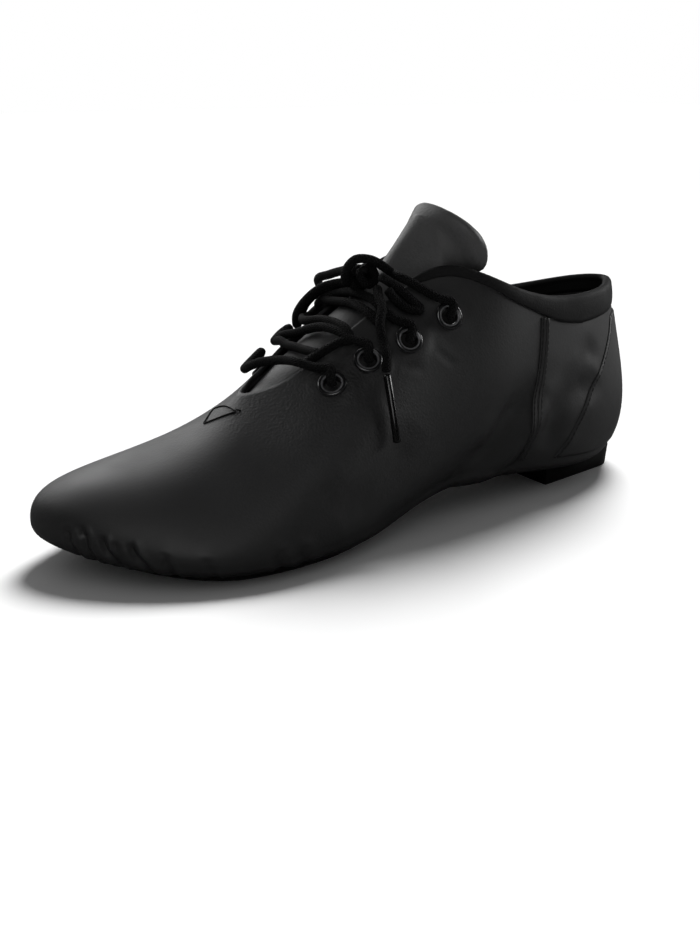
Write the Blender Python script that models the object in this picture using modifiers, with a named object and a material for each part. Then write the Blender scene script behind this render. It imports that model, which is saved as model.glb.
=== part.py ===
"""A soft split-sole jazz shoe for the left foot, in metres, +Z up, +X towards the toe and +Y to the
lateral side. The origin is the centre of the heel's bottom face, on the floor."""

import math

import bmesh
import bpy
import numpy as np
from mathutils import Matrix, Vector

# Driving sizes of the last and the bottom
LENGTH = 0.246
BALL_WIDTH = 0.086
INSTEP_HEIGHT = 0.088
HEEL_HEIGHT = 0.008
HEEL_LENGTH = 0.0465
HEEL_WIDTH = 0.040
HEEL_SETBACK = 0.004
HEEL_TAPER = 0.0008
HEEL_ROUND = 0.24
HEEL_BACK_WIDTH = 0.64
PAD_THICKNESS = 0.0027
PAD_INSET = 0.0075
PAD_TOE_INSET = 0.006
PAD_START = 0.515
PAD_TOE_START = 0.80
ARCH_THICKNESS = 0.0012
ARCH_INSET = 0.0082
TOE_SPRING = 0.0075

# Walls, linings and the clearance between touching pieces
WALL = 0.0016
CLEARANCE = 0.0003
EDGE_RADIUS = 0.005
LASTING_MARGIN = 0.012
INSOLE_THICKNESS = 0.002
INSOLE_INSET = 0.0011
NARROWEST = 0.002
TONGUE_THICKNESS = 0.0018
TONGUE_CLEARANCE = 0.0013
OVERLAY_THICKNESS = 0.0007
OVERLAY_CLEARANCE = 0.0006

# Tongue. Puff and ease add to its crown and its clearance at the throat's corner and fade over puff span.
TONGUE_REACH = 0.0048
TONGUE_SHARES = (0.80, 0.87, 0.94, 1.0)
TONGUE_MIDDLE = (0.25, 0.5, 0.75)
TONGUE_CORNER = 0.515
TONGUE_CROWN = 0.36
TONGUE_PUFF = 0.59
TONGUE_PUFF_SPAN = 0.20
TONGUE_EASE = 0.0005
TONGUE_ROW_COUNT = 17

# Collar band, which narrows to a binding towards the throat
BAND_HEIGHT = 0.0092
BAND_INNER_HEIGHT = 0.0050
BAND_INNER_END = 0.44
BAND_INNER_FADE = 0.12
BAND_THICKNESS = 0.0006
BAND_INNER_LEAST = 0.12
BAND_FOLD = 0.6
BAND_RISE = 1.5
BAND_COLUMN_COUNT = 41

# Eyelets
EYELET_FLANGE = 0.0049
EYELET_BORE = 0.0031
EYELET_BARREL = 0.0036
EYELET_HOLE = 0.0040
EYELET_HEIGHT = 0.0009
EYELET_FOOT = 0.0008
EYELET_HOLE_DEPTH = 0.010
EYELET_RIM = 0.75
EYELET_LIP = 0.4
SEAT_CURVE = 0.024

# Seam strip and counter
STRIP_WIDTH = 0.004
STRIP_STATION = 0.2865
STRIP_FOOT = 0.04
STRIP_HEAD = 0.88
STRIP_ROW_COUNT = 13
COUNTER_COLUMN_COUNT = 19

# Lace and aglet
LACE_RADIUS = 0.0016
AGLET_RADIUS = 0.0018

# How finely the upper, the bottom and the eyelets are cut
AROUND = 68
UPWARD = 9
BOTTOM_ROW_COUNT = 26
ARCH_ROW_COUNT = 12
BOTTOM_ACROSS = 5
BOTTOM_END = 0.02
EYELET_STEPS = 12
MERGE = 0.00001
WELD = 0.00005
RAY_SAMPLES = 200
RAY_LOWEST = 0.3
NEAR_TOP = 0.98
SMALL_TURN = 0.01

EDGE_INSET = EDGE_RADIUS * 0.6
HEEL_CENTRE = HEEL_SETBACK + HEEL_LENGTH / 2
PAD_TOP = PAD_THICKNESS + CLEARANCE
HEEL_TOP = HEEL_HEIGHT + CLEARANCE

# One row for each section of the last. Station and top_station are shares of LENGTH from the back;
# centre, lateral, medial, gap, out and swell are shares of BALL_WIDTH; height, dip, rise and drop are
# shares of INSTEP_HEIGHT; turn is a share of EDGE_RADIUS, lift of the heel's height above the pad and
# spring of TOE_SPRING.
COLUMNS = (
    "station", "centre", "lateral", "medial", "turn", "lift", "spring",
    "top_station", "gap", "height", "dip", "out", "rise", "swell", "drop",
)
SECTIONS = (
    (0.00, 0.000, 0.000, 0.000, 0.60, 1.00, 0.00, 0.024, 0.000, 0.840, 0.000, 0.066, 0.21, 0.062, 0.30),
    (0.06, 0.000, 0.215, 0.210, 0.62, 1.00, 0.00, 0.059, 0.125, 0.838, 0.008, 0.095, 0.20, 0.036, 0.30),
    (0.15, 0.000, 0.320, 0.310, 0.75, 1.02, 0.00, 0.118, 0.228, 0.831, 0.030, 0.044, 0.20, 0.049, 0.28),
    (0.25, 0.000, 0.330, 0.315, 1.00, 1.20, 0.00, 0.213, 0.282, 0.836, 0.040, 0.060, 0.22, 0.045, 0.28),
    (0.34, 0.000, 0.325, 0.270, 1.10, 1.48, 0.00, 0.292, 0.302, 0.888, 0.034, 0.105, 0.18, 0.055, 0.28),
    (0.43, 0.000, 0.345, 0.265, 1.10, 1.40, 0.00, 0.354, 0.276, 0.962, 0.018, 0.125, 0.19, 0.075, 0.28),
    (0.50, 0.000, 0.385, 0.310, 1.05, 0.90, 0.00, 0.404, 0.207, 1.000, 0.008, 0.105, 0.18, 0.105, 0.21),
    (0.57, 0.000, 0.440, 0.390, 1.00, 0.30, 0.00, 0.452, 0.158, 0.957, 0.000, 0.060, 0.16, 0.160, 0.13),
    (0.65, 0.000, 0.490, 0.460, 1.00, 0.00, 0.00, 0.517, 0.140, 0.856, 0.000, 0.040, 0.13, 0.210, 0.13),
    (0.74, 0.000, 0.505, 0.485, 1.00, 0.00, 0.00, 0.588, 0.135, 0.738, 0.000, 0.034, 0.10, 0.254, 0.19),
    (0.83, -0.008, 0.458, 0.452, 1.00, 0.00, 0.05, 0.643, 0.108, 0.639, 0.000, 0.031, 0.08, 0.268, 0.24),
    (0.92, -0.032, 0.308, 0.300, 1.00, 0.00, 0.40, 0.682, 0.053, 0.590, 0.000, 0.027, 0.15, 0.332, 0.27),
    (1.00, -0.112, 0.000, 0.000, 1.00, 0.00, 1.00, 0.698, 0.000, 0.577, 0.000, 0.006, 0.26, 0.362, 0.31),
)

# The tongue above the throat: how far up its middle lies and leans back (shares of TONGUE_REACH), then
# its lateral and medial sides, each along (share of LENGTH) and out (of BALL_WIDTH), and their height
# (of INSTEP_HEIGHT).
TONGUE_ROWS = (
    (1.00, 1.00, 0.366, 0.130, 0.366, 0.096, 1.182),
    (0.94, 0.93, 0.354, 0.195, 0.366, 0.140, 1.145),
    (0.80, 0.80, 0.348, 0.236, 0.364, 0.158, 1.100),
    (0.62, 0.62, 0.345, 0.250, 0.366, 0.164, 1.045),
    (0.42, 0.42, 0.348, 0.236, 0.372, 0.158, 0.990),
    (0.20, 0.20, 0.366, 0.184, 0.384, 0.150, 0.945),
)

# Each eyelet pair: the stations of its lateral and medial rays, and how far down them it lies from the
# throat's edge (of BALL_WIDTH).
EYELET_ROWS = ((0.748, 0.766, 0.158), (0.680, 0.698, 0.174), (0.600, 0.618, 0.219), (0.511, 0.529, 0.192))

# The collar band's height (share of BAND_HEIGHT) at stations from the back to the throat's corner.
BAND_ROWS = (
    (0.000, 0.96), (0.100, 0.93), (0.200, 1.00), (0.250, 0.86), (0.288, 0.67), (0.325, 0.52),
    (0.377, 0.44), (0.420, 0.33), (0.460, 0.29), (0.515, 0.28),
)

# The seam where the counter ends on each side: stations at shares of the upper's height there.
COUNTER_ROWS = (
    (0.220, 0.020), (0.204, 0.110), (0.190, 0.240), (0.176, 0.370), (0.161, 0.490), (0.141, 0.600),
    (0.120, 0.705), (0.096, 0.800), (0.080, 0.850),
)

# The lace's ways, each point along (share of LENGTH, from the back), out (of BALL_WIDTH) and up (of
# INSTEP_HEIGHT). The bars and crossings meet, and the bow's cords lie clear of them.
BAR_ROUTES = {
    "bar_1": (
        (0.6073, 0.2515, 0.6263), (0.6090, 0.2546, 0.6447), (0.6096, 0.2519, 0.6646),
        (0.6085, 0.2400, 0.6869), (0.6220, 0.1823, 0.6858), (0.6337, 0.1298, 0.6972),
        (0.6381, 0.0615, 0.6934), (0.6437, 0.0006, 0.6826), (0.6515, -0.0637, 0.6674),
        (0.6591, -0.1188, 0.6444), (0.6583, -0.1773, 0.6193), (0.6405, -0.2099, 0.6375),
        (0.6198, -0.2357, 0.6629), (0.6207, -0.2474, 0.6407), (0.6200, -0.2501, 0.6210),
        (0.6181, -0.2472, 0.6026),
    ),
    "bar_2": (
        (0.5528, 0.2674, 0.7011), (0.5539, 0.2731, 0.7193), (0.5541, 0.2725, 0.7396),
        (0.5530, 0.2618, 0.7630), (0.5646, 0.2089, 0.7756), (0.5701, 0.1499, 0.7942),
        (0.5739, 0.0873, 0.8003), (0.5789, 0.0251, 0.7958), (0.5849, -0.0336, 0.7780),
        (0.5920, -0.0901, 0.7565), (0.6014, -0.1453, 0.7402), (0.6043, -0.1982, 0.7091),
        (0.5874, -0.2344, 0.7247), (0.5677, -0.2605, 0.7385), (0.5688, -0.2712, 0.7151),
        (0.5686, -0.2719, 0.6949), (0.5674, -0.2663, 0.6766),
    ),
    "bar_3": (
        (0.4891, 0.2857, 0.7591), (0.4892, 0.2955, 0.7759), (0.4887, 0.2993, 0.7958),
        (0.4871, 0.2934, 0.8208), (0.5016, 0.2489, 0.8375), (0.5090, 0.1967, 0.8620),
        (0.5115, 0.1478, 0.8916), (0.5101, 0.0846, 0.9018), (0.5129, 0.0216, 0.9090),
        (0.5143, -0.0420, 0.9043), (0.5173, -0.1035, 0.8911), (0.5283, -0.1538, 0.8679),
        (0.5286, -0.2022, 0.8393), (0.5159, -0.2496, 0.8180), (0.5003, -0.2906, 0.7986),
        (0.5020, -0.2963, 0.7735), (0.5026, -0.2922, 0.7537), (0.5026, -0.2819, 0.7371),
    ),
    "crossing_1": (
        (0.5637, 0.2012, 0.7710), (0.5784, 0.1766, 0.7632), (0.5946, 0.1644, 0.7420),
        (0.6105, 0.1542, 0.7186), (0.6280, 0.1442, 0.6907),
    ),
    "crossing_2": (
        (0.5645, 0.2047, 0.7719), (0.5647, 0.1616, 0.8077), (0.5660, 0.1050, 0.8188),
        (0.5677, 0.0530, 0.8208), (0.5708, -0.0042, 0.8175), (0.5745, -0.0599, 0.8059),
        (0.5730, -0.1148, 0.7972), (0.5638, -0.1657, 0.7955), (0.5497, -0.2064, 0.7874),
        (0.5350, -0.2364, 0.7881), (0.5179, -0.2628, 0.8036), (0.4993, -0.2843, 0.8112),
    ),
    "crossing_3": (
        (0.5230, 0.2090, 0.8285), (0.5269, 0.1667, 0.8560), (0.5272, 0.1117, 0.8693),
        (0.5274, 0.0601, 0.8726), (0.5301, 0.0089, 0.8762), (0.5306, -0.0427, 0.8710),
        (0.5304, -0.1000, 0.8649), (0.5308, -0.1518, 0.8615),
    ),
    "crossing_4": (
        (0.6072, 0.1515, 0.7269), (0.6089, 0.1000, 0.7250), (0.6104, 0.0422, 0.7229),
        (0.6117, -0.0101, 0.7238), (0.6115, -0.0624, 0.7198), (0.6106, -0.1202, 0.7266),
        (0.6065, -0.1689, 0.7153),
    ),
}
CORD_ROUTES = {
    "lace_knot": (
        (0.4196, 0.2829, 0.8285), (0.4199, 0.2950, 0.8438), (0.4196, 0.3017, 0.8628),
        (0.4187, 0.2997, 0.8882), (0.4347, 0.2692, 0.9053), (0.4477, 0.2335, 0.9284),
        (0.4602, 0.1974, 0.9555), (0.4739, 0.1649, 0.9792), (0.4752, 0.1080, 0.9897),
        (0.4874, 0.0831, 1.0198), (0.5050, 0.0733, 1.0450), (0.5210, 0.0394, 1.0433),
        (0.5313, 0.0181, 1.0010), (0.5275, 0.0014, 0.9540), (0.5087, -0.0206, 0.9506),
        (0.4910, -0.0398, 0.9545), (0.4819, -0.0673, 0.9862), (0.4680, -0.1011, 0.9794),
        (0.4518, -0.1341, 0.9881), (0.4414, -0.1834, 0.9923), (0.4299, -0.2220, 0.9652),
        (0.4254, -0.2567, 0.9239), (0.4287, -0.2875, 0.8766), (0.4297, -0.2886, 0.8509),
        (0.4302, -0.2811, 0.8321), (0.4302, -0.2681, 0.8175),
    ),
    "lace_loop_medial": (
        (0.5035, -0.0814, 0.9357), (0.5139, -0.1303, 0.9271), (0.5275, -0.1695, 0.9109),
        (0.5417, -0.1957, 0.8805), (0.5539, -0.2201, 0.8354), (0.5566, -0.2496, 0.7886),
        (0.5499, -0.2781, 0.7450), (0.5432, -0.2804, 0.7779), (0.5373, -0.2651, 0.8296),
        (0.5267, -0.2321, 0.8727), (0.5162, -0.1852, 0.8881), (0.5065, -0.1370, 0.9042),
        (0.5004, -0.0837, 0.9172),
    ),
    "lace_loop_lateral": (
        (0.5074, 0.1628, 0.9899), (0.4918, 0.1662, 0.9640), (0.4792, 0.1936, 0.9290),
        (0.4709, 0.2276, 0.8976), (0.4636, 0.2555, 0.8659), (0.4802, 0.2354, 0.8721),
        (0.4917, 0.2027, 0.9016), (0.5012, 0.1860, 0.9417),
    ),
    "lace_end_lateral": (
        (0.5064, 0.1348, 0.9398), (0.5167, 0.1864, 0.9202), (0.5234, 0.2366, 0.8873),
        (0.5337, 0.2666, 0.8336), (0.5316, 0.2796, 0.7747), (0.5350, 0.3183, 0.7261),
        (0.5399, 0.3382, 0.6693),
    ),
    "lace_end_medial": (
        (0.5098, -0.0465, 0.9937), (0.5092, -0.0974, 0.9811), (0.5102, -0.1537, 0.9659),
        (0.5117, -0.2034, 0.9500), (0.5143, -0.2530, 0.9357), (0.5082, -0.2989, 0.9181),
        (0.4978, -0.3457, 0.8998), (0.4880, -0.3872, 0.8841),
    ),
}
AGLET_ROUTE = (
    (0.5413, 0.3477, 0.6544), (0.5448, 0.3804, 0.6021), (0.5467, 0.4066, 0.5457),
    (0.5483, 0.4317, 0.4826), (0.5487, 0.4483, 0.4227),
)

LEATHER = (0.012, 0.012, 0.013)
SUEDE = (0.020, 0.019, 0.018)
RUBBER = (0.010, 0.010, 0.010)
ELASTIC = (0.014, 0.014, 0.015)
ENAMEL = (0.015, 0.015, 0.016)
LACE = (0.016, 0.016, 0.016)
LINING = (0.060, 0.058, 0.055)


def clear_scene():
    for obj in list(bpy.data.objects):
        bpy.data.objects.remove(obj, do_unlink=True)


def new_collection(name):
    collection = bpy.data.collections.new(name)
    bpy.context.scene.collection.children.link(collection)
    return collection


def material(name, colour, roughness, metallic=0.0):
    made = bpy.data.materials.new(name)
    made.use_nodes = True
    shader = made.node_tree.nodes["Principled BSDF"]
    shader.inputs["Base Color"].default_value = (*colour, 1.0)
    shader.inputs["Roughness"].default_value = roughness
    shader.inputs["Metallic"].default_value = metallic
    return made


def periodic_spline(knots, values, period, at):
    """Values of the smooth closed curve through values at knots."""
    count = len(knots)
    step = np.append(np.diff(knots), knots[0] + period - knots[-1])
    slope = (np.roll(values, -1, axis=0) - values) / step[:, None]
    system = np.zeros((count, count))
    right = np.zeros_like(values)
    for i in range(count):
        system[i, i - 1] = step[i - 1]
        system[i, i] = 2 * (step[i - 1] + step[i])
        system[i, (i + 1) % count] = step[i]
        right[i] = 6 * (slope[i] - slope[i - 1])
    bend = np.linalg.solve(system, right)
    at = np.mod(at - knots[0], period) + knots[0]
    i = np.clip(np.searchsorted(knots, at, side="right") - 1, 0, count - 1)
    past = (at - knots[i])[:, None]
    wide = step[i][:, None]
    low, high = bend[i], bend[(i + 1) % count]
    linear = slope[i] - wide * (2 * low + high) / 6
    return values[i] + past * linear + past**2 * low / 2 + past**3 * (high - low) / (6 * wide)


def turn_of(station):
    """The angle round the shoe, from 0 at the back to pi at the toe, of a station on its lateral side."""
    return np.arccos(1 - 2 * np.asarray(station, float))


def section_values(turn):
    """Every column of SECTIONS at these angles round the shoe, with half widths signed by side."""
    rows = np.array(SECTIONS)
    lateral = {name: rows[:, i] for i, name in enumerate(COLUMNS)}
    side = dict(lateral)
    side["edge"] = lateral["centre"] + lateral["lateral"]
    side["top"] = lateral["gap"]
    side["top_height"] = lateral["height"]
    other = dict(lateral)
    other["edge"] = lateral["centre"] - lateral["medial"]
    other["top"] = -lateral["gap"]
    other["top_height"] = lateral["height"] - lateral["dip"]
    places = ("edge", "turn", "lift", "spring", "top_station", "top", "top_height")
    names = places + ("out", "rise", "swell", "drop")
    angles = turn_of(rows[:, 0])
    knots = np.concatenate([angles, (2 * np.pi - angles[1:-1])[::-1]])
    near = np.column_stack([side[name] for name in names])
    far = np.column_stack([other[name] for name in names])
    values = np.concatenate([near, far[1:-1][::-1]])
    found = periodic_spline(knots, values, 2 * np.pi, np.atleast_1d(np.asarray(turn, float)))
    return {name: found[:, i] for i, name in enumerate(names)}


def edge_point(turn, values):
    """The outermost point of the foot's edge in plan, at these angles."""
    along = EDGE_INSET + (LENGTH - 2 * EDGE_INSET) * (1 - np.cos(turn)) / 2
    return np.column_stack([along - HEEL_CENTRE, values["edge"] * BALL_WIDTH])


def outward_of(turn):
    """The level direction away from the foot at these angles."""
    small = 1e-3
    ahead = edge_point(turn + small, section_values(turn + small))
    behind = edge_point(turn - small, section_values(turn - small))
    along = ahead - behind
    along /= np.linalg.norm(along, axis=1)[:, None]
    return np.column_stack([-along[:, 1], along[:, 0], np.zeros(len(along))])


def underside(along):
    """The height of the upper's underside at these lengths: over heel, arch, pad and the toe's spring."""
    station = (np.asarray(along, float) + HEEL_CENTRE - EDGE_INSET) / (LENGTH - 2 * EDGE_INSET)
    values = section_values(turn_of(np.clip(station, 0, 1)).ravel())
    lift = np.maximum(values["lift"], 0.0) * (HEEL_TOP - PAD_TOP)
    level = PAD_TOP + lift + np.maximum(values["spring"], 0.0) * TOE_SPRING
    return level.reshape(station.shape)


def rays(turn):
    """Where each section leaves the foot's edge, ends at the top edge, and its two handles."""
    turn = np.atleast_1d(np.asarray(turn, float))
    values = section_values(turn)
    out = outward_of(turn)
    up = np.array([0.0, 0.0, 1.0])
    plan = edge_point(turn, values)
    radius = values["turn"] * EDGE_RADIUS
    base = np.column_stack([plan, underside(plan[:, 0]) + radius])
    top = np.column_stack([
        values["top_station"] * LENGTH - HEEL_CENTRE,
        values["top"] * BALL_WIDTH,
        values["top_height"] * INSTEP_HEIGHT,
    ])
    rise = (values["rise"] * INSTEP_HEIGHT)[:, None]
    drop = (values["drop"] * INSTEP_HEIGHT)[:, None]
    low = base + out * (values["out"] * BALL_WIDTH)[:, None] + up * rise
    high = top + out * (values["swell"] * BALL_WIDTH)[:, None] - up * drop
    return base, low, high, top, out, radius


def surface(turn, share):
    """Points of the upper's outer face at these pairs of a turn and a share up its ray, from 0 at the
    foot's edge to 1 at the top edge."""
    turn, share = np.broadcast_arrays(np.asarray(turn, float), np.asarray(share, float))
    base, low, high, top, _, _ = rays(turn.ravel())
    t = share.ravel()[:, None]
    found = (1 - t) ** 3 * base + 3 * (1 - t) ** 2 * t * low + 3 * (1 - t) * t**2 * high + t**3 * top
    return found.reshape(turn.shape + (3,))


def surface_normal(turn, share):
    """The outer face's normal at the same points."""
    turn, share = np.broadcast_arrays(np.asarray(turn, float), np.asarray(share, float))
    small = 1e-3
    low, high = np.clip(share - small, 0, 1), np.clip(share + small, 0, 1)
    around = surface(turn + small, share) - surface(turn - small, share)
    upward = surface(turn, high) - surface(turn, low)
    normal = np.cross(upward, around)
    return normal / np.linalg.norm(normal, axis=-1)[..., None]


def share_below_top(turn, distance):
    """The share up a ray that lies this distance below its top edge, along the surface."""
    shares = np.linspace(1, RAY_LOWEST, RAY_SAMPLES)
    line = surface(turn, shares)
    run = np.concatenate([[0], np.cumsum(np.linalg.norm(np.diff(line, axis=0), axis=1))])
    return float(np.interp(distance, run, shares))


def underfoot(turn):
    """The lasting margin and the round turn under the foot, from the inside out."""
    base, _, _, _, out, radius = rays(turn)
    rows = []
    for inset in (LASTING_MARGIN, (LASTING_MARGIN + EDGE_RADIUS) / 2):
        row = base - out * inset
        row[:, 2] = underside(row[:, 0])
        rows.append(row)
    for angle in np.linspace(0, np.pi / 2, 5)[:-1]:
        row = base + out * (radius * (math.sin(angle) - 1))[:, None]
        row[:, 2] = underside(row[:, 0]) + radius * (1 - math.cos(angle))
        rows.append(row)
    return np.stack(rows, axis=1)


def grid_object(name, points, collection, finish, closed=False, merge=0.0):
    """A sheet through a grid of points; closed joins its last row to its first."""
    mesh = bpy.data.meshes.new(name)
    bm = bmesh.new()
    rows, columns = points.shape[:2]
    grid = [[bm.verts.new(Vector(points[i, j])) for j in range(columns)] for i in range(rows)]
    for i in range(rows if closed else rows - 1):
        one, two = grid[i], grid[(i + 1) % rows]
        for j in range(columns - 1):
            bm.faces.new((one[j], one[j + 1], two[j + 1], two[j]))
    if merge:
        bmesh.ops.remove_doubles(bm, verts=bm.verts, dist=merge)
    bm.to_mesh(mesh)
    bm.free()
    obj = bpy.data.objects.new(name, mesh)
    obj.data.materials.append(finish)
    collection.objects.link(obj)
    obj.data.shade_smooth()
    return obj


def thicken(obj, thickness, offset):
    """Gives a sheet its wall. Offset -1 grows it against its normals and 1 along them."""
    wall = obj.modifiers.new("wall", "SOLIDIFY")
    wall.thickness = thickness
    wall.offset = offset
    wall.use_even_offset = True
    return wall


def cut(obj, cutter):
    hole = obj.modifiers.new("cut " + cutter.name, "BOOLEAN")
    hole.operation = "DIFFERENCE"
    hole.solver = "EXACT"
    hole.object = cutter


def make_upper(parts, finish):
    turns = np.linspace(0, 2 * np.pi, AROUND, endpoint=False)
    face = surface(turns[:, None], np.linspace(0, 1, UPWARD)[None, :])
    points = np.concatenate([underfoot(turns), face], axis=1)
    upper = grid_object("upper", points, parts, finish, closed=True)
    thicken(upper, WALL, -1.0)
    return upper


def bottom_outline(turns, inset):
    """Pairs of points on both sides of the foot's edge, moved inwards by inset."""
    inset = np.broadcast_to(inset, turns.shape)[:, None]
    base, _, _, _, out, _ = rays(turns)
    near = base - out * inset
    base, _, _, _, out, _ = rays(2 * np.pi - turns)
    far = base - out * inset
    apart = near[:, 1] - far[:, 1] > NARROWEST
    return near[apart], far[apart]


def bottom_piece(name, near, far, above_level, thickness, parts, finish):
    """A flat piece under or on the foot, from rows of near and far points. Its top lies above_level over
    the upper's underside, and its bottom stays on or over the floor."""
    mesh = bpy.data.meshes.new(name)
    bm = bmesh.new()
    across = np.linspace(0, 1, BOTTOM_ACROSS)
    rows = []
    for i in range(len(near)):
        row = near[i] + (far[i] - near[i]) * across[:, None]
        top = underside(row[:, 0]) + above_level
        bottom = np.maximum(top - thickness, 0.0)
        above = [bm.verts.new((x, y, z)) for (x, y), z in zip(row[:, :2], top)]
        below = [bm.verts.new((x, y, z)) for (x, y), z in zip(row[:, :2], bottom)]
        rows.append((above, below))
    for (above, below), (next_above, next_below) in zip(rows, rows[1:]):
        for j in range(len(across) - 1):
            bm.faces.new((above[j], above[j + 1], next_above[j + 1], next_above[j]))
            bm.faces.new((below[j + 1], below[j], next_below[j], next_below[j + 1]))
        bm.faces.new((above[0], next_above[0], next_below[0], below[0]))
        bm.faces.new((above[-1], below[-1], next_below[-1], next_above[-1]))
    for above, below in (rows[0], rows[-1]):
        for j in range(len(across) - 1):
            bm.faces.new((above[j], above[j + 1], below[j + 1], below[j]))
    bmesh.ops.remove_doubles(bm, verts=bm.verts, dist=WELD)
    bmesh.ops.recalc_face_normals(bm, faces=bm.faces)
    bm.to_mesh(mesh)
    bm.free()
    obj = bpy.data.objects.new(name, mesh)
    obj.data.materials.append(finish)
    parts.objects.link(obj)
    return obj


def heel_half_width(share):
    """Half the heel's width at a share of its length: round at the back, slowly wider to the breast."""
    round_part = np.clip(share / HEEL_ROUND, 0, 1)
    straight = HEEL_WIDTH / 2 * (HEEL_BACK_WIDTH + (1 - HEEL_BACK_WIDTH) * share)
    return straight * np.sqrt(1 - (1 - round_part) ** 2)


def make_heel(parts, finish):
    """The heel block: round at the back, straight at the breast, a little smaller on the floor."""
    back = HEEL_ROUND * (1 - np.cos(np.linspace(0, np.pi / 2, 9)))
    shares = np.concatenate([back, np.linspace(HEEL_ROUND, 1, 6)[1:]])
    bm = bmesh.new()
    loops = []
    for height, taper in ((HEEL_HEIGHT, 0.0), (0.0, HEEL_TAPER)):
        shrink = 1 - 2 * taper / HEEL_LENGTH
        along = (shares - 0.5) * HEEL_LENGTH * shrink
        half = heel_half_width(shares) * shrink
        near = [bm.verts.new((x, y, height)) for x, y in zip(along, half)]
        far = [bm.verts.new((x, -y, height)) for x, y in zip(along[1:], half[1:])]
        loops.append(near + far[::-1])
    upper_loop, lower_loop = loops
    count = len(upper_loop)
    bm.faces.new(upper_loop)
    bm.faces.new(lower_loop[::-1])
    for i in range(count):
        j = (i + 1) % count
        bm.faces.new((upper_loop[i], lower_loop[i], lower_loop[j], upper_loop[j]))
    bmesh.ops.recalc_face_normals(bm, faces=bm.faces)
    mesh = bpy.data.meshes.new("heel")
    bm.to_mesh(mesh)
    bm.free()
    obj = bpy.data.objects.new("heel", mesh)
    obj.data.materials.append(finish)
    parts.objects.link(obj)
    return obj


def make_bottom(parts, suede, leather, lining):
    """The forefoot pad, the arch piece between it and the heel, and the insole."""
    turns = np.linspace(float(turn_of(PAD_START)), np.pi - BOTTOM_END, BOTTOM_ROW_COUNT)
    toe_share = np.clip((1 - np.cos(turns)) / 2 - PAD_TOE_START, 0, None) / (1 - PAD_TOE_START)
    near, far = bottom_outline(turns, PAD_INSET + PAD_TOE_INSET * toe_share)
    bottom_piece("sole_pad", near, far, -CLEARANCE, PAD_THICKNESS, parts, suede)

    last = min(near[0][0], far[0][0]) - CLEARANCE
    first = HEEL_SETBACK + HEEL_LENGTH + CLEARANCE - HEEL_CENTRE
    turns = turn_of(np.linspace((first + HEEL_CENTRE) / LENGTH, PAD_START, ARCH_ROW_COUNT))
    near, far = bottom_outline(turns, ARCH_INSET)
    for side in (near, far):
        side[:, 0] = first + (side[:, 0] - side[0, 0]) * (last - first) / (side[-1, 0] - side[0, 0])
    bottom_piece("sole_arch", near, far, -CLEARANCE * 1.3, ARCH_THICKNESS, parts, leather)

    turns = np.linspace(BOTTOM_END, np.pi - BOTTOM_END, BOTTOM_ROW_COUNT)
    near, far = bottom_outline(turns, rays(turns)[5] + INSOLE_INSET)
    above = WALL + CLEARANCE * 1.5 + INSOLE_THICKNESS
    bottom_piece("insole", near, far, above, INSOLE_THICKNESS, parts, lining)


def make_tongue(parts, finish):
    """The tongue: a sheet under both throat edges, closed at the front under the vamp, standing above
    the throat in an arched, rounded top."""
    corner = float(turn_of(TONGUE_CORNER))
    turns = np.linspace(corner, np.pi, TONGUE_ROW_COUNT)
    shares = np.array(TONGUE_SHARES)
    rows = []
    for turn in turns:
        nearness = math.exp(-(((turn - corner) / TONGUE_PUFF_SPAN) ** 2))
        inward = WALL + TONGUE_CLEARANCE + TONGUE_EASE * nearness
        sides = []
        for at in (turn, 2 * np.pi - turn):
            sides.append(surface(at, shares) - surface_normal(at, shares) * inward)
        near, far = sides
        lead = (near[-1] - near[-2]) / np.linalg.norm(near[-1] - near[-2])
        tail = (far[-1] - far[-2]) / np.linalg.norm(far[-1] - far[-2])
        gap = np.linalg.norm(near[-1] - far[-1]) * (TONGUE_CROWN + TONGUE_PUFF * nearness)
        one, two = near[-1] + lead * gap, far[-1] + tail * gap
        middle = []
        for t in TONGUE_MIDDLE:
            ends = (1 - t) ** 3 * near[-1] + t**3 * far[-1]
            middle.append(ends + 3 * (1 - t) ** 2 * t * one + 3 * (1 - t) * t**2 * two)
        rows.append(np.concatenate([near, middle, far[::-1]]))
    peak = rows[0][len(rows[0]) // 2]
    above = []
    swing = np.linspace(np.pi / 2, -np.pi / 2, len(rows[0]))
    for up, lean, near_along, near_out, far_along, far_out, height in TONGUE_ROWS:
        middle = peak + np.array([-lean, 0.0, up]) * TONGUE_REACH
        near = swing > 0
        side = np.zeros((len(swing), 3))
        side[:, 0] = np.where(near, near_along, far_along) * LENGTH - HEEL_CENTRE
        side[:, 2] = height * INSTEP_HEIGHT
        row = middle + (side - middle) * (1 - np.cos(swing))[:, None]
        row[:, 1] = np.where(near, near_out, far_out) * BALL_WIDTH * np.sin(swing)
        above.append(row)
    points = np.stack(above + rows)
    tongue = grid_object("tongue", points, parts, finish, merge=WELD)
    thicken(tongue, TONGUE_THICKNESS, -1.0)
    return tongue


def eyelet_places():
    """(name, centre, outward normal) of each eyelet."""
    found = []
    for number, (lateral, medial, inset) in enumerate(EYELET_ROWS, start=1):
        turns = (float(turn_of(lateral)), 2 * np.pi - float(turn_of(medial)))
        for side, turn in zip(("lateral", "medial"), turns):
            share = share_below_top(turn, inset * BALL_WIDTH)
            centre = surface([turn], [share])[0]
            normal = surface_normal([turn], [share])[0]
            found.append((f"eyelet_{side}_{number}", Vector(centre), Vector(normal)))
    return found


def facing(centre, normal):
    """The placement that turns +Z to this normal at this centre."""
    return Matrix.Translation(centre) @ normal.to_track_quat("Z", "Y").to_matrix().to_4x4()


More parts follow.
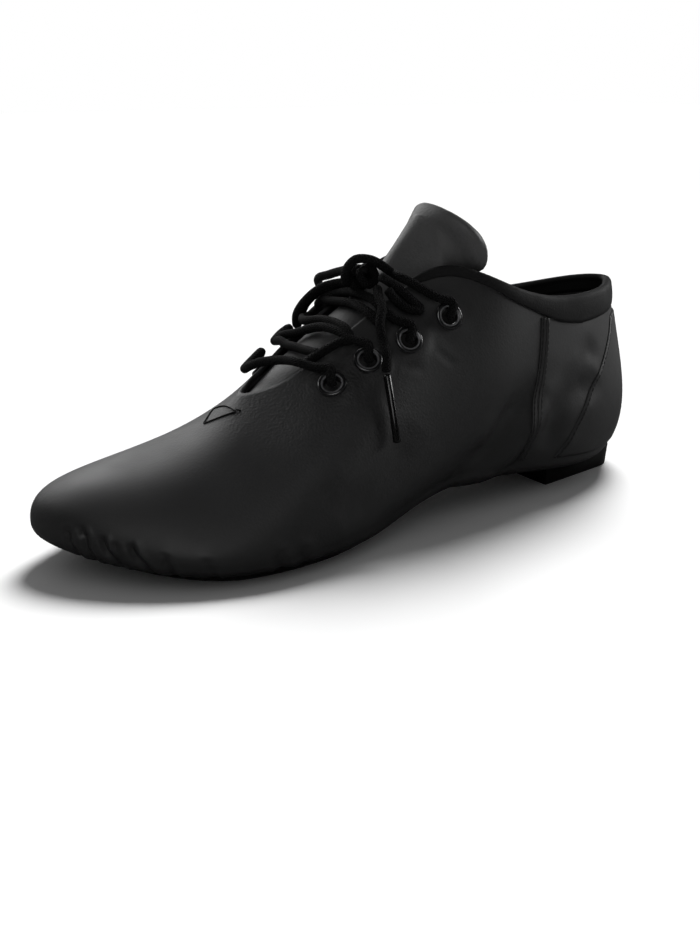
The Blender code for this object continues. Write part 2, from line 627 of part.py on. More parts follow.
def eyelet_profile():
    """Radius and height down the outer side of the eyelet, from its bore's rim to its barrel's foot."""
    sag = EYELET_FLANGE**2 / (2 * SEAT_CURVE)
    seat = CLEARANCE + sag
    foot = -WALL - EYELET_FOOT
    return (
        (EYELET_BORE, seat + EYELET_HEIGHT * EYELET_RIM),
        ((EYELET_BORE + EYELET_FLANGE) / 2, seat + EYELET_HEIGHT),
        (EYELET_FLANGE, seat + EYELET_HEIGHT * EYELET_LIP),
        (EYELET_FLANGE, seat),
        (EYELET_BARREL, seat),
        (EYELET_BARREL, foot),
        (EYELET_BORE, foot),
    )


def make_eyelets(parts, cutters, upper, finish):
    profile = eyelet_profile()
    for name, centre, normal in eyelet_places():
        mesh = bpy.data.meshes.new(name)
        ring = [(radius, 0.0, height) for radius, height in profile]
        edges = [(i, (i + 1) % len(ring)) for i in range(len(ring))]
        mesh.from_pydata(ring, edges, [])
        eyelet = bpy.data.objects.new(name, mesh)
        eyelet.data.materials.append(finish)
        parts.objects.link(eyelet)
        eyelet.matrix_world = facing(centre, normal)
        spin = eyelet.modifiers.new("turned", "SCREW")
        spin.axis = "Z"
        spin.steps = EYELET_STEPS
        spin.render_steps = EYELET_STEPS
        spin.use_merge_vertices = True
        spin.merge_threshold = MERGE
        hole = bmesh.new()
        bmesh.ops.create_cone(
            hole,
            cap_ends=True,
            segments=EYELET_STEPS,
            radius1=EYELET_HOLE,
            radius2=EYELET_HOLE,
            depth=EYELET_HOLE_DEPTH,
        )
        hole_mesh = bpy.data.meshes.new("hole_" + name)
        hole.to_mesh(hole_mesh)
        hole.free()
        cutter = bpy.data.objects.new("hole_" + name, hole_mesh)
        cutter.hide_render = True
        cutter.display_type = "WIRE"
        cutters.objects.link(cutter)
        cutter.matrix_world = facing(centre, normal)
        cut(upper, cutter)


def make_collar_band(parts, finish):
    """The soft band over the collar's edge: outer leaf, fold over the rim and inner leaf, one sheet."""
    stations, heights = np.array(BAND_ROWS).T
    end = float(turn_of(stations[-1]))
    turns = np.linspace(-end, end, BAND_COLUMN_COUNT)
    gap = OVERLAY_CLEARANCE
    fold = gap * BAND_FOLD
    outward = np.array([gap, gap, fold, -WALL / 2, -WALL - fold, -WALL - gap])
    raised = np.array([0.0, 0.0, 1.0, BAND_RISE, 1.0, 0.0]) * gap
    rows = []
    for turn in turns:
        station = (1 - math.cos(turn)) / 2
        height = float(np.interp(station, stations, heights)) * BAND_HEIGHT
        left = (BAND_INNER_END - station) / BAND_INNER_FADE
        inner = BAND_INNER_HEIGHT * np.clip(left, BAND_INNER_LEAST, 1.0)
        low = share_below_top(turn, height)
        inner_low = share_below_top(turn, inner)
        shares = np.array([low, 1.0, 1.0, 1.0, 1.0, inner_low])
        upward = surface([turn], [1.0])[0] - surface([turn], [NEAR_TOP])[0]
        upward /= np.linalg.norm(upward)
        leaf = surface(turn, shares) + surface_normal(turn, shares) * outward[:, None]
        rows.append(leaf + upward * raised[:, None])
    band = grid_object("collar_band", np.stack(rows), parts, finish)
    thicken(band, BAND_THICKNESS, 1.0)
    return band


def overlay(name, turns, shares, parts, finish):
    """A sheet on the upper's outer face through a grid of turns and shares."""
    points = surface(turns, shares) + surface_normal(turns, shares) * OVERLAY_CLEARANCE
    sheet = grid_object(name, points, parts, finish)
    thicken(sheet, OVERLAY_THICKNESS, 1.0)
    return sheet


def make_counter(parts, finish):
    """The counter round the back of the heel, between its two slanted seams."""
    stations, heights = np.array(COUNTER_ROWS).T
    ends = turn_of(stations)
    turns = ends[:, None] * np.linspace(-1, 1, COUNTER_COLUMN_COUNT)[None, :]
    shares = np.broadcast_to(heights[:, None], turns.shape)
    return overlay("counter", turns.T, shares.T, parts, finish)


def make_side_strips(parts, finish):
    """The narrow raised strip over the side seam of each quarter, from under the band to the sole's edge."""
    middle = float(turn_of(STRIP_STATION))
    shares = np.linspace(STRIP_FOOT, STRIP_HEAD, STRIP_ROW_COUNT)
    for side, turn in (("lateral", middle), ("medial", 2 * np.pi - middle)):
        beside = surface(turn + SMALL_TURN, shares) - surface(turn, shares)
        half = SMALL_TURN * STRIP_WIDTH / 2 / np.linalg.norm(beside, axis=1)
        turns = turn + half[None, :] * np.array([-1.0, 0.0, 1.0])[:, None]
        overlay(f"side_strip_{side}", turns, np.broadcast_to(shares, turns.shape), parts, finish)


def tube(name, route, radius, collection, finish):
    """A round cord along a route whose points are shares of the shoe's sizes."""
    curve = bpy.data.curves.new(name, "CURVE")
    curve.dimensions = "3D"
    curve.bevel_depth = radius
    curve.bevel_resolution = 2
    curve.use_fill_caps = True
    spline = curve.splines.new("POLY")
    spline.points.add(len(route) - 1)
    for point, (along, out, up) in zip(spline.points, route):
        point.co = (along * LENGTH - HEEL_CENTRE, out * BALL_WIDTH, up * INSTEP_HEIGHT, 1.0)
    obj = bpy.data.objects.new(name, curve)
    obj.data.materials.append(finish)
    collection.objects.link(obj)
    return obj


def meshed(obj):
    """Replaces a curve object by its closed mesh."""
    graph = bpy.context.evaluated_depsgraph_get()
    mesh = bpy.data.meshes.new_from_object(obj.evaluated_get(graph))
    bm = bmesh.new()
    bm.from_mesh(mesh)
    bmesh.ops.remove_doubles(bm, verts=bm.verts, dist=MERGE)
    bmesh.ops.recalc_face_normals(bm, faces=bm.faces)
    bm.to_mesh(mesh)
    bm.free()
    solid = bpy.data.objects.new(obj.name + "_solid", mesh)
    obj.users_collection[0].objects.link(solid)
    bpy.data.objects.remove(obj, do_unlink=True)
    return solid


def make_laces(parts, cutters, finish, tip):
    """The lace's bars and crossings in one solid, then the bow's cords and the aglet."""
    solids = [meshed(tube(name, route, LACE_RADIUS, cutters, finish)) for name, route in BAR_ROUTES.items()]
    bars = solids[0]
    cutters.objects.unlink(bars)
    parts.objects.link(bars)
    bars.name = "lace_bars"
    for other in solids[1:]:
        other.hide_render = True
        other.display_type = "WIRE"
        join = bars.modifiers.new("join " + other.name, "BOOLEAN")
        join.operation = "UNION"
        join.solver = "EXACT"
        join.object = other
    for name, route in CORD_ROUTES.items():
        tube(name, route, LACE_RADIUS, parts, finish)
    tube("aglet", AGLET_ROUTE, AGLET_RADIUS, parts, tip)


def main():
    clear_scene()
    parts = new_collection("jazz_shoe")
    cutters = new_collection("cutters")
    leather = material("black leather", LEATHER, 0.42)
    suede = material("suede", SUEDE, 0.9)
    rubber = material("heel rubber", RUBBER, 0.6)
    elastic = material("collar elastic", ELASTIC, 0.8)
    enamel = material("black enamel", ENAMEL, 0.3, 0.6)
    lace = material("black lace", LACE, 0.85)
    plastic = material("aglet plastic", ENAMEL, 0.3)
    lining = material("lining", LINING, 0.8)
    upper = make_upper(parts, leather)
    make_bottom(parts, suede, leather, lining)
    make_heel(parts, rubber)
    make_tongue(parts, leather)
    make_eyelets(parts, cutters, upper, enamel)
    make_collar_band(parts, elastic)
    make_counter(parts, leather)
    make_side_strips(parts, leather)
    make_laces(parts, cutters, lace, plastic)


main()
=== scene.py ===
"""The looks of a soft split-sole jazz shoe for the left foot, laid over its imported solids, in metres."""

import functools
import math

import bmesh
import bpy
import numpy as np
from mathutils import Matrix, Vector


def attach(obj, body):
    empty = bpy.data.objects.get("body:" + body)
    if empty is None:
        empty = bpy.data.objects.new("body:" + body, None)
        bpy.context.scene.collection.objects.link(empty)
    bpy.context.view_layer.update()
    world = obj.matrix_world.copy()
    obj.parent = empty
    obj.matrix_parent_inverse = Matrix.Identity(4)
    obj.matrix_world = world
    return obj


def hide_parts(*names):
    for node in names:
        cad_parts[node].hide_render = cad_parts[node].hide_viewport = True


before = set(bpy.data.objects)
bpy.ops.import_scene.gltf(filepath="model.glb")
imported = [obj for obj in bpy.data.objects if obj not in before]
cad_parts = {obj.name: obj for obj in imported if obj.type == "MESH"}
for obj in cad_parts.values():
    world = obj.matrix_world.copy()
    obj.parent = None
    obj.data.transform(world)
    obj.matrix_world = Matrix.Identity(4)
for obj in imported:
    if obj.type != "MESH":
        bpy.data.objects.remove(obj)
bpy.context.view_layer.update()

bl_info = {
    "name": "Jazz Shoe",
    "version": (1, 0, 0),
    "blender": (4, 5, 0),
    "location": "View3D > Sidebar > Jazz Shoe",
    "description": "Dresses a soft split-sole jazz shoe in leather, lace and stitching",
    "category": "Mesh",
}

BODY = "root"

# Sizes of the last and the bottom, the same as in the part's source
LENGTH = 0.246
BALL_WIDTH = 0.086
INSTEP_HEIGHT = 0.088
HEEL_HEIGHT = 0.008
HEEL_LENGTH = 0.0465
HEEL_SETBACK = 0.004
PAD_THICKNESS = 0.0027
TOE_SPRING = 0.0075
WALL = 0.0016
CLEARANCE = 0.0003
EDGE_RADIUS = 0.005
LASTING_MARGIN = 0.012
EDGE_INSET = EDGE_RADIUS * 0.6
HEEL_CENTRE = HEEL_SETBACK + HEEL_LENGTH / 2
PAD_TOP = PAD_THICKNESS + CLEARANCE
HEEL_TOP = HEEL_HEIGHT + CLEARANCE

# One row for each section of the last. Station and top_station are shares of LENGTH from the back;
# centre, lateral, medial, gap, out and swell are shares of BALL_WIDTH; height, dip, rise and drop are
# shares of INSTEP_HEIGHT; turn is a share of EDGE_RADIUS, lift of the heel's height above the pad and
# spring of TOE_SPRING.
COLUMNS = (
    "station", "centre", "lateral", "medial", "turn", "lift", "spring",
    "top_station", "gap", "height", "dip", "out", "rise", "swell", "drop",
)
SECTIONS = (
    (0.00, 0.000, 0.000, 0.000, 0.60, 1.00, 0.00, 0.024, 0.000, 0.840, 0.000, 0.066, 0.21, 0.062, 0.30),
    (0.06, 0.000, 0.215, 0.210, 0.62, 1.00, 0.00, 0.059, 0.125, 0.838, 0.008, 0.095, 0.20, 0.036, 0.30),
    (0.15, 0.000, 0.320, 0.310, 0.75, 1.02, 0.00, 0.118, 0.228, 0.831, 0.030, 0.044, 0.20, 0.049, 0.28),
    (0.25, 0.000, 0.330, 0.315, 1.00, 1.20, 0.00, 0.213, 0.282, 0.836, 0.040, 0.060, 0.22, 0.045, 0.28),
    (0.34, 0.000, 0.325, 0.270, 1.10, 1.48, 0.00, 0.292, 0.302, 0.888, 0.034, 0.105, 0.18, 0.055, 0.28),
    (0.43, 0.000, 0.345, 0.265, 1.10, 1.40, 0.00, 0.354, 0.276, 0.962, 0.018, 0.125, 0.19, 0.075, 0.28),
    (0.50, 0.000, 0.385, 0.310, 1.05, 0.90, 0.00, 0.404, 0.207, 1.000, 0.008, 0.105, 0.18, 0.105, 0.21),
    (0.57, 0.000, 0.440, 0.390, 1.00, 0.30, 0.00, 0.452, 0.158, 0.957, 0.000, 0.060, 0.16, 0.160, 0.13),
    (0.65, 0.000, 0.490, 0.460, 1.00, 0.00, 0.00, 0.517, 0.140, 0.856, 0.000, 0.040, 0.13, 0.210, 0.13),
    (0.74, 0.000, 0.505, 0.485, 1.00, 0.00, 0.00, 0.588, 0.135, 0.738, 0.000, 0.034, 0.10, 0.254, 0.19),
    (0.83, -0.008, 0.458, 0.452, 1.00, 0.00, 0.05, 0.643, 0.108, 0.639, 0.000, 0.031, 0.08, 0.268, 0.24),
    (0.92, -0.032, 0.308, 0.300, 1.00, 0.00, 0.40, 0.682, 0.053, 0.590, 0.000, 0.027, 0.15, 0.332, 0.27),
    (1.00, -0.112, 0.000, 0.000, 1.00, 0.00, 1.00, 0.698, 0.000, 0.577, 0.000, 0.006, 0.26, 0.362, 0.31),
)

# Tongue: its share of each ray, its place under the upper, and its rows above the throat (up and lean
# are shares of its reach, along of LENGTH, out of BALL_WIDTH and height of INSTEP_HEIGHT).
TONGUE_THICKNESS = 0.0018
TONGUE_CLEARANCE = 0.0013
TONGUE_REACH = 0.0048
TONGUE_CORNER = 0.515
TONGUE_SHARES = (0.80, 0.87, 0.94, 1.0)
TONGUE_MIDDLE = (0.25, 0.5, 0.75)
TONGUE_CROWN = 0.36
TONGUE_PUFF = 0.59
TONGUE_PUFF_SPAN = 0.20
TONGUE_EASE = 0.0005
TONGUE_ROW_COUNT = 17
TONGUE_ROWS = (
    (1.00, 1.00, 0.366, 0.130, 0.366, 0.096, 1.182),
    (0.94, 0.93, 0.354, 0.195, 0.366, 0.140, 1.145),
    (0.80, 0.80, 0.348, 0.236, 0.364, 0.158, 1.100),
    (0.62, 0.62, 0.345, 0.250, 0.366, 0.164, 1.045),
    (0.42, 0.42, 0.348, 0.236, 0.372, 0.158, 0.990),
    (0.20, 0.20, 0.366, 0.184, 0.384, 0.150, 0.945),
)

# Each eyelet pair: the stations of its lateral and medial rays, and how far down them it lies from the
# throat's edge (of BALL_WIDTH). The leather is flat out to the seat and creased beyond the reach. The
# profile is radius and height (m). Inside one radius and above one level the bore is painted light grey,
# a painted glint on the black eyelet's inner lip.
EYELET_ROWS = ((0.748, 0.766, 0.158), (0.680, 0.698, 0.174), (0.600, 0.618, 0.219), (0.511, 0.529, 0.192))
EYELET_HOLE = 0.0040
EYELET_SEAT = 0.0050
EYELET_REACH = 0.0100
EYELET_TURNS = 40
EYELET_GLINT_RADIUS = 0.0036
EYELET_GLINT_LEVEL = 0.0001
EYELET_PROFILE = (
    (0.00300, -0.0023), (0.00300, -0.0002), (0.00306, 0.00030), (0.00325, 0.00058),
    (0.00350, 0.00066), (0.00372, 0.00060), (0.00385, 0.00064), (0.00410, 0.00082),
    (0.00440, 0.00080), (0.00470, 0.00058), (0.00488, 0.00028), (0.00490, 0.00000),
    (0.00470, -0.00012), (0.00375, -0.00012), (0.00360, -0.0023),
)

# The holes in the upper: how far in the leather is cut away, and how far out its rim is drawn to the hole's
# edge (shares of the hole)
HOLE_CUT = 0.92
HOLE_RIM = 1.8

# Thickness of the thin sheets that stand for the collar band, the counter and the side strips
SHEET = 0.0004

# Collar band: its rows of points, its roundness, how high it lies outside and inside, and the outside
# height as a share of the highest at each station.
BAND_COLUMNS = 260
BAND_OUTER_ROWS = 9
BAND_OVER_ROWS = 7
BAND_INNER_ROWS = 5
BAND_PUFF_START = 0.1
BAND_PUFF_END = 0.72
BAND_PUFF_POWER = 0.7
BAND_LEAST = 0.0002
BAND_PUFF = 0.0009
BAND_PUFF_BASE = 0.25
BAND_FOLD = 0.0008
BAND_FOLD_START = 0.35
BAND_FOLD_END = 0.2
BAND_LINING_GAP = 0.0006
BAND_INNER_LEAST = 0.12
BAND_HEIGHT = 0.0092
BAND_INNER_HEIGHT = 0.0050
BAND_INNER_END = 0.44
BAND_INNER_FADE = 0.12
BAND_ROWS = (
    (0.000, 0.96), (0.100, 0.93), (0.200, 1.00), (0.250, 0.86), (0.288, 0.67), (0.325, 0.52),
    (0.377, 0.44), (0.420, 0.33), (0.460, 0.29), (0.515, 0.28), (0.548, 0.24), (0.570, 0.12),
)

# The seam where the counter ends, as stations at shares of the upper's height there, and the side strip.
# Their rims round off over a share of their width. They lie least and lift above the upper (m).
COUNTER_ROWS = (
    (0.220, 0.020), (0.204, 0.110), (0.190, 0.240), (0.176, 0.370), (0.161, 0.490), (0.141, 0.600),
    (0.120, 0.705), (0.096, 0.800), (0.080, 0.850),
)
COUNTER_COLUMNS = 121
COUNTER_RIM = 0.02
COUNTER_END = 0.03
COUNTER_LEAST = 0.0001
COUNTER_LIFT = 0.0006
STRIP_ROWS = 90
STRIP_COLUMNS = 17
STRIP_SHARE = 0.56
STRIP_RIM = 0.15
STRIP_RIDGE = 0.38
STRIP_RIDGE_WIDTH = 0.2
STRIP_LEAST = 0.0001
STRIP_LIFT = 0.00035
STRIP_RIDGE_LIFT = 0.00065
STRIP_WIDTH = 0.004
STRIP_STATION = 0.2865
STRIP_FOOT = 0.04
STRIP_HEAD = 0.905

# The lace's ways, each point along (share of LENGTH, from the back), out (of BALL_WIDTH) and up (of
# INSTEP_HEIGHT), the same as in the part's source.
BAR_ROUTES = {
    "bar_1": (
        (0.6073, 0.2515, 0.6263), (0.6090, 0.2546, 0.6447), (0.6096, 0.2519, 0.6646),
        (0.6085, 0.2400, 0.6869), (0.6220, 0.1823, 0.6858), (0.6337, 0.1298, 0.6972),
        (0.6381, 0.0615, 0.6934), (0.6437, 0.0006, 0.6826), (0.6515, -0.0637, 0.6674),
        (0.6591, -0.1188, 0.6444), (0.6583, -0.1773, 0.6193), (0.6405, -0.2099, 0.6375),
        (0.6198, -0.2357, 0.6629), (0.6207, -0.2474, 0.6407), (0.6200, -0.2501, 0.6210),
        (0.6181, -0.2472, 0.6026),
    ),
    "bar_2": (
        (0.5528, 0.2674, 0.7011), (0.5539, 0.2731, 0.7193), (0.5541, 0.2725, 0.7396),
        (0.5530, 0.2618, 0.7630), (0.5646, 0.2089, 0.7756), (0.5701, 0.1499, 0.7942),
        (0.5739, 0.0873, 0.8003), (0.5789, 0.0251, 0.7958), (0.5849, -0.0336, 0.7780),
        (0.5920, -0.0901, 0.7565), (0.6014, -0.1453, 0.7402), (0.6043, -0.1982, 0.7091),
        (0.5874, -0.2344, 0.7247), (0.5677, -0.2605, 0.7385), (0.5688, -0.2712, 0.7151),
        (0.5686, -0.2719, 0.6949), (0.5674, -0.2663, 0.6766),
    ),
    "bar_3": (
        (0.4891, 0.2857, 0.7591), (0.4892, 0.2955, 0.7759), (0.4887, 0.2993, 0.7958),
        (0.4871, 0.2934, 0.8208), (0.5016, 0.2489, 0.8375), (0.5090, 0.1967, 0.8620),
        (0.5115, 0.1478, 0.8916), (0.5101, 0.0846, 0.9018), (0.5129, 0.0216, 0.9090),
        (0.5143, -0.0420, 0.9043), (0.5173, -0.1035, 0.8911), (0.5283, -0.1538, 0.8679),
        (0.5286, -0.2022, 0.8393), (0.5159, -0.2496, 0.8180), (0.5003, -0.2906, 0.7986),
        (0.5020, -0.2963, 0.7735), (0.5026, -0.2922, 0.7537), (0.5026, -0.2819, 0.7371),
    ),
    "crossing_1": (
        (0.5637, 0.2012, 0.7710), (0.5784, 0.1766, 0.7632), (0.5946, 0.1644, 0.7420),
        (0.6105, 0.1542, 0.7186), (0.6280, 0.1442, 0.6907),
    ),
    "crossing_2": (
        (0.5645, 0.2047, 0.7719), (0.5647, 0.1616, 0.8077), (0.5660, 0.1050, 0.8188),
        (0.5677, 0.0530, 0.8208), (0.5708, -0.0042, 0.8175), (0.5745, -0.0599, 0.8059),
        (0.5730, -0.1148, 0.7972), (0.5638, -0.1657, 0.7955), (0.5497, -0.2064, 0.7874),
        (0.5350, -0.2364, 0.7881), (0.5179, -0.2628, 0.8036), (0.4993, -0.2843, 0.8112),
    ),
    "crossing_3": (
        (0.5230, 0.2090, 0.8285), (0.5269, 0.1667, 0.8560), (0.5272, 0.1117, 0.8693),
        (0.5274, 0.0601, 0.8726), (0.5301, 0.0089, 0.8762), (0.5306, -0.0427, 0.8710),
        (0.5304, -0.1000, 0.8649), (0.5308, -0.1518, 0.8615),
    ),
    "crossing_4": (
        (0.6072, 0.1515, 0.7269), (0.6089, 0.1000, 0.7250), (0.6104, 0.0422, 0.7229),
        (0.6117, -0.0101, 0.7238), (0.6115, -0.0624, 0.7198), (0.6106, -0.1202, 0.7266),
        (0.6065, -0.1689, 0.7153),
    ),
}
CORD_ROUTES = {
    "lace_knot": (
        (0.4196, 0.2829, 0.8285), (0.4199, 0.2950, 0.8438), (0.4196, 0.3017, 0.8628),
        (0.4187, 0.2997, 0.8882), (0.4347, 0.2692, 0.9053), (0.4477, 0.2335, 0.9284),
        (0.4602, 0.1974, 0.9555), (0.4739, 0.1649, 0.9792), (0.4752, 0.1080, 0.9897),
        (0.4874, 0.0831, 1.0198), (0.5050, 0.0733, 1.0450), (0.5210, 0.0394, 1.0433),
        (0.5313, 0.0181, 1.0010), (0.5275, 0.0014, 0.9540), (0.5087, -0.0206, 0.9506),
        (0.4910, -0.0398, 0.9545), (0.4819, -0.0673, 0.9862), (0.4680, -0.1011, 0.9794),
        (0.4518, -0.1341, 0.9881), (0.4414, -0.1834, 0.9923), (0.4299, -0.2220, 0.9652),
        (0.4254, -0.2567, 0.9239), (0.4287, -0.2875, 0.8766), (0.4297, -0.2886, 0.8509),
        (0.4302, -0.2811, 0.8321), (0.4302, -0.2681, 0.8175),
    ),
    "lace_loop_medial": (
        (0.5035, -0.0814, 0.9357), (0.5139, -0.1303, 0.9271), (0.5275, -0.1695, 0.9109),
        (0.5417, -0.1957, 0.8805), (0.5539, -0.2201, 0.8354), (0.5566, -0.2496, 0.7886),
        (0.5499, -0.2781, 0.7450), (0.5432, -0.2804, 0.7779), (0.5373, -0.2651, 0.8296),
        (0.5267, -0.2321, 0.8727), (0.5162, -0.1852, 0.8881), (0.5065, -0.1370, 0.9042),
        (0.5004, -0.0837, 0.9172),
    ),
    "lace_loop_lateral": (
        (0.5074, 0.1628, 0.9899), (0.4918, 0.1662, 0.9640), (0.4792, 0.1936, 0.9290),
        (0.4709, 0.2276, 0.8976), (0.4636, 0.2555, 0.8659), (0.4802, 0.2354, 0.8721),
        (0.4917, 0.2027, 0.9016), (0.5012, 0.1860, 0.9417),
    ),
    "lace_end_lateral": (
        (0.5064, 0.1348, 0.9398), (0.5167, 0.1864, 0.9202), (0.5234, 0.2366, 0.8873),
        (0.5337, 0.2666, 0.8336), (0.5316, 0.2796, 0.7747), (0.5350, 0.3183, 0.7261),
        (0.5399, 0.3382, 0.6693),
    ),
    "lace_end_medial": (
        (0.5098, -0.0465, 0.9937), (0.5092, -0.0974, 0.9811), (0.5102, -0.1537, 0.9659),
        (0.5117, -0.2034, 0.9500), (0.5143, -0.2530, 0.9357), (0.5082, -0.2989, 0.9181),
        (0.4978, -0.3457, 0.8998), (0.4880, -0.3872, 0.8841),
    ),
}
AGLET_ROUTE = (
    (0.5413, 0.3477, 0.6544), (0.5448, 0.3804, 0.6021), (0.5467, 0.4066, 0.5457),
    (0.5483, 0.4317, 0.4826), (0.5487, 0.4483, 0.4227),
)

# How far a crease reaches (in its widths), where its lips lie, and how fast it fades in at its ends
CREASE_REACH = 5
CREASE_LIP = 1.9
CREASE_FADE = 1.6

# Creases of the worn-in leather: depth and width in metres, the lip raised on its left and right side
# (shares of the depth), and its way as pairs of a station and a share up the upper. A share under 0 is
# on the round turn into the sole, and a negative station lies on the medial side.
CREASES = (
    (0.0021, 0.0055, 1.10, 0.10,
     ((0.290, 0.560), (0.337, 0.380), (0.352, 0.265), (0.372, 0.150), (0.430, 0.060))),
    (0.0006, 0.0045, 0.60, 0.30, ((0.150, 0.720), (0.185, 0.675), (0.219, 0.600), (0.262, 0.500))),
    (0.0015, 0.0050, 0.50, 0.60,
     ((0.150, 0.560), (0.190, 0.490), (0.222, 0.390), (0.238, 0.240), (0.246, 0.080))),
    (0.0011, 0.0070, 0.20, 0.60, ((0.560, 0.420), (0.585, 0.300), (0.610, 0.220), (0.660, 0.130))),
    (0.00015, 0.0012, 0.30, 0.30, ((0.538, 0.655), (0.515, 0.620), (0.490, 0.590))),
    (0.00015, 0.0012, 0.30, 0.30, ((0.612, 0.655), (0.585, 0.625), (0.555, 0.585))),
    (0.0004, 0.0020, 0.60, 0.60, ((0.752, 0.960), (0.735, 0.915), (0.712, 0.850))),
    (0.0004, 0.0018, 0.60, 0.60, ((0.735, 0.990), (0.722, 0.945), (0.700, 0.900))),
    (0.0009, 0.0011, 0.30, 0.10, ((0.980, 0.030), (0.976, 0.000), (0.972, -0.600), (0.970, -1.000))),
    (0.0012, 0.0011, 0.30, 0.10,
     ((0.970, 0.135), (0.966, 0.080), (0.962, 0.000), (0.958, -0.600), (0.955, -1.0))),
    (0.0015, 0.0011, 0.30, 0.10,
     ((0.952, 0.115), (0.947, 0.060), (0.940, -0.100), (0.934, -0.600), (0.930, -1.0))),
    (0.0006, 0.0010, 0.30, 0.10, ((0.938, 0.105), (0.936, 0.060), (0.932, -0.100), (0.928, -0.600))),
    (0.0015, 0.0011, 0.30, 0.10,
     ((0.927, 0.125), (0.920, 0.070), (0.911, -0.100), (0.902, -0.600), (0.896, -1.0))),
    (0.0008, 0.0012, 0.30, 0.10, ((0.890, 0.055), (0.886, 0.000), (0.880, -0.600), (0.876, -1.000))),
    (0.0006, 0.0013, 0.30, 0.10, ((0.845, 0.030), (0.840, 0.000), (0.834, -0.600), (0.830, -1.000))),
    (0.0006, 0.0016, 0.60, 0.40, ((0.760, 0.060), (0.752, 0.000), (0.744, -0.500), (0.738, -1.000))),
    (0.0005, 0.0016, 0.60, 0.40, ((0.725, 0.050), (0.716, 0.000), (0.706, -0.500), (0.700, -1.000))),
    (0.0009, 0.0050, 0.60, 0.20, ((-0.280, 0.540), (-0.330, 0.380), (-0.352, 0.255), (-0.385, 0.130))),
    (0.0008, 0.0044, 0.60, 0.30, ((-0.140, 0.700), (-0.180, 0.640), (-0.222, 0.560), (-0.262, 0.460))),
    (0.0009, 0.0046, 0.30, 0.60, ((-0.150, 0.520), (-0.196, 0.430), (-0.224, 0.320), (-0.236, 0.120))),
    (0.0007, 0.0070, 0.20, 0.60, ((-0.550, 0.440), (-0.585, 0.320), (-0.620, 0.230), (-0.670, 0.140))),
    (0.0012, 0.0011, 0.30, 0.10, ((-0.972, 0.105), (-0.966, 0.050), (-0.958, -0.500), (-0.954, -1.000))),
    (0.0014, 0.0011, 0.30, 0.10, ((-0.950, 0.115), (-0.942, 0.050), (-0.934, -0.500), (-0.930, -1.000))),
    (0.0012, 0.0011, 0.30, 0.10, ((-0.922, 0.105), (-0.914, 0.050), (-0.905, -0.500), (-0.900, -1.000))),
    (0.0009, 0.0012, 0.30, 0.10, ((-0.884, 0.055), (-0.876, 0.000), (-0.868, -0.500), (-0.862, -1.000))),
)

# Rows and columns of the upper's grid: along the lasting margin, down the turn, up the side and round the
# shoe, where they lie closer over this much of the toe's turn.
MARGIN_SHARES = (-2.0, -1.6, -1.3)
TURN_ROWS = 8
SIDE_ROWS = 84
UPPER_COLUMNS = 520
TOE_EXTRA = 3.5
TOE_SPAN = 0.55
TOE_SAMPLES = 2001
TOE_LEVEL = 0.25

# Small steps, samples and distances for finding points, directions and doubles
SMALL_TURN = 0.001
STRIP_TURN = 0.01
NEAR_TOP = 0.98
RAY_LOWEST = 0.3
RAY_SAMPLES = 200
MERGE = 0.00001

# Steps between two points of a table: along a crease, a seam, a lace, the aglet, and the tongue's grid
CREASE_STEPS = 6
SEAM_STEPS = 8
LACE_STEPS = 6
AGLET_STEPS = 8
TONGUE_ROW_STEPS = 3
TONGUE_COLUMN_STEPS = 6

# Sides of a lace, an aglet and a thread, and how a cord's end is rounded (shares of its radius)
CORD_SIDES = 14
AGLET_SIDES = 20
THREAD_SIDES = 8
CORD_END_RISE = 0.5
CORD_END_SHARE = 0.55

# Where the leather's pebbles show most: their centre and how far they reach and fade (m)
GRAIN_CENTRE = (0.132, 0.020, 0.048)
GRAIN_REACH = 0.020
GRAIN_END = 0.050
GRAIN_ELSEWHERE = 0.22

# The turns of lace that make up the knot: centre (m), the way each turns about, and how far out (m)
KNOT_WRAPS = (
    ((0.0975, 0.0000, 0.0850), (0.25, 1.00, 0.15), 0.0030),
    ((0.0955, -0.0042, 0.0842), (0.35, 1.00, -0.25), 0.0030),
    ((0.0968, 0.0044, 0.0858), (-0.10, 1.00, 0.45), 0.0028),
)
KNOT_PITCH = 0.00025
KNOT_TURNS = 1.04
KNOT_STEPS = 25

# The corners of the tack below the throat, as seen from above (m)
TACK_CORNERS = ((0.1493, 0.0052), (0.1578, -0.0016), (0.1503, -0.0088))
TACK_RADIUS = 0.00025
TACK_STEPS = 9
TACK_LOOP_TURNS = 0.92
TACK_LOOP_STEPS = 17
TACK_LOOP_CENTRE = (-0.0012, 0.0, 0.0003)
TACK_LOOP_REACH = (0.0011, 0.0008, 0.0004)

# Stitches: how much of its length each fills, how far in from the strip's ends and edges they run and how
# far behind the counter's seam, and how high they lie (m)
STITCH_FILL = 0.44
STITCH_SAMPLES = 120
STITCH_SEGMENTS = 8
STITCH_RINGS = 6
STRIP_STITCH_END = 0.02
STRIP_STITCH_OUT = 0.78
STRIP_STITCH_LEVEL = 0.00055
COUNTER_STITCH_BACK = 0.006
COUNTER_STITCH_LEVEL = 0.0007

# The pieces of the bottom: material, slot and how far their edges are rounded (m)
BOTTOM_PIECES = {
    "sole_pad": ("Suede", "suede", 0.0005),
    "sole_arch": ("Soft leather", "leather", 0.0003),
    "heel": ("Heel rubber", "rubber", 0.0005),
    "insole": ("Lining", "lining", 0.0004),
}
BEVEL_SEGMENTS = 3
BEVEL_ANGLE = math.radians(40)
SMOOTH_ANGLE = math.radians(35)

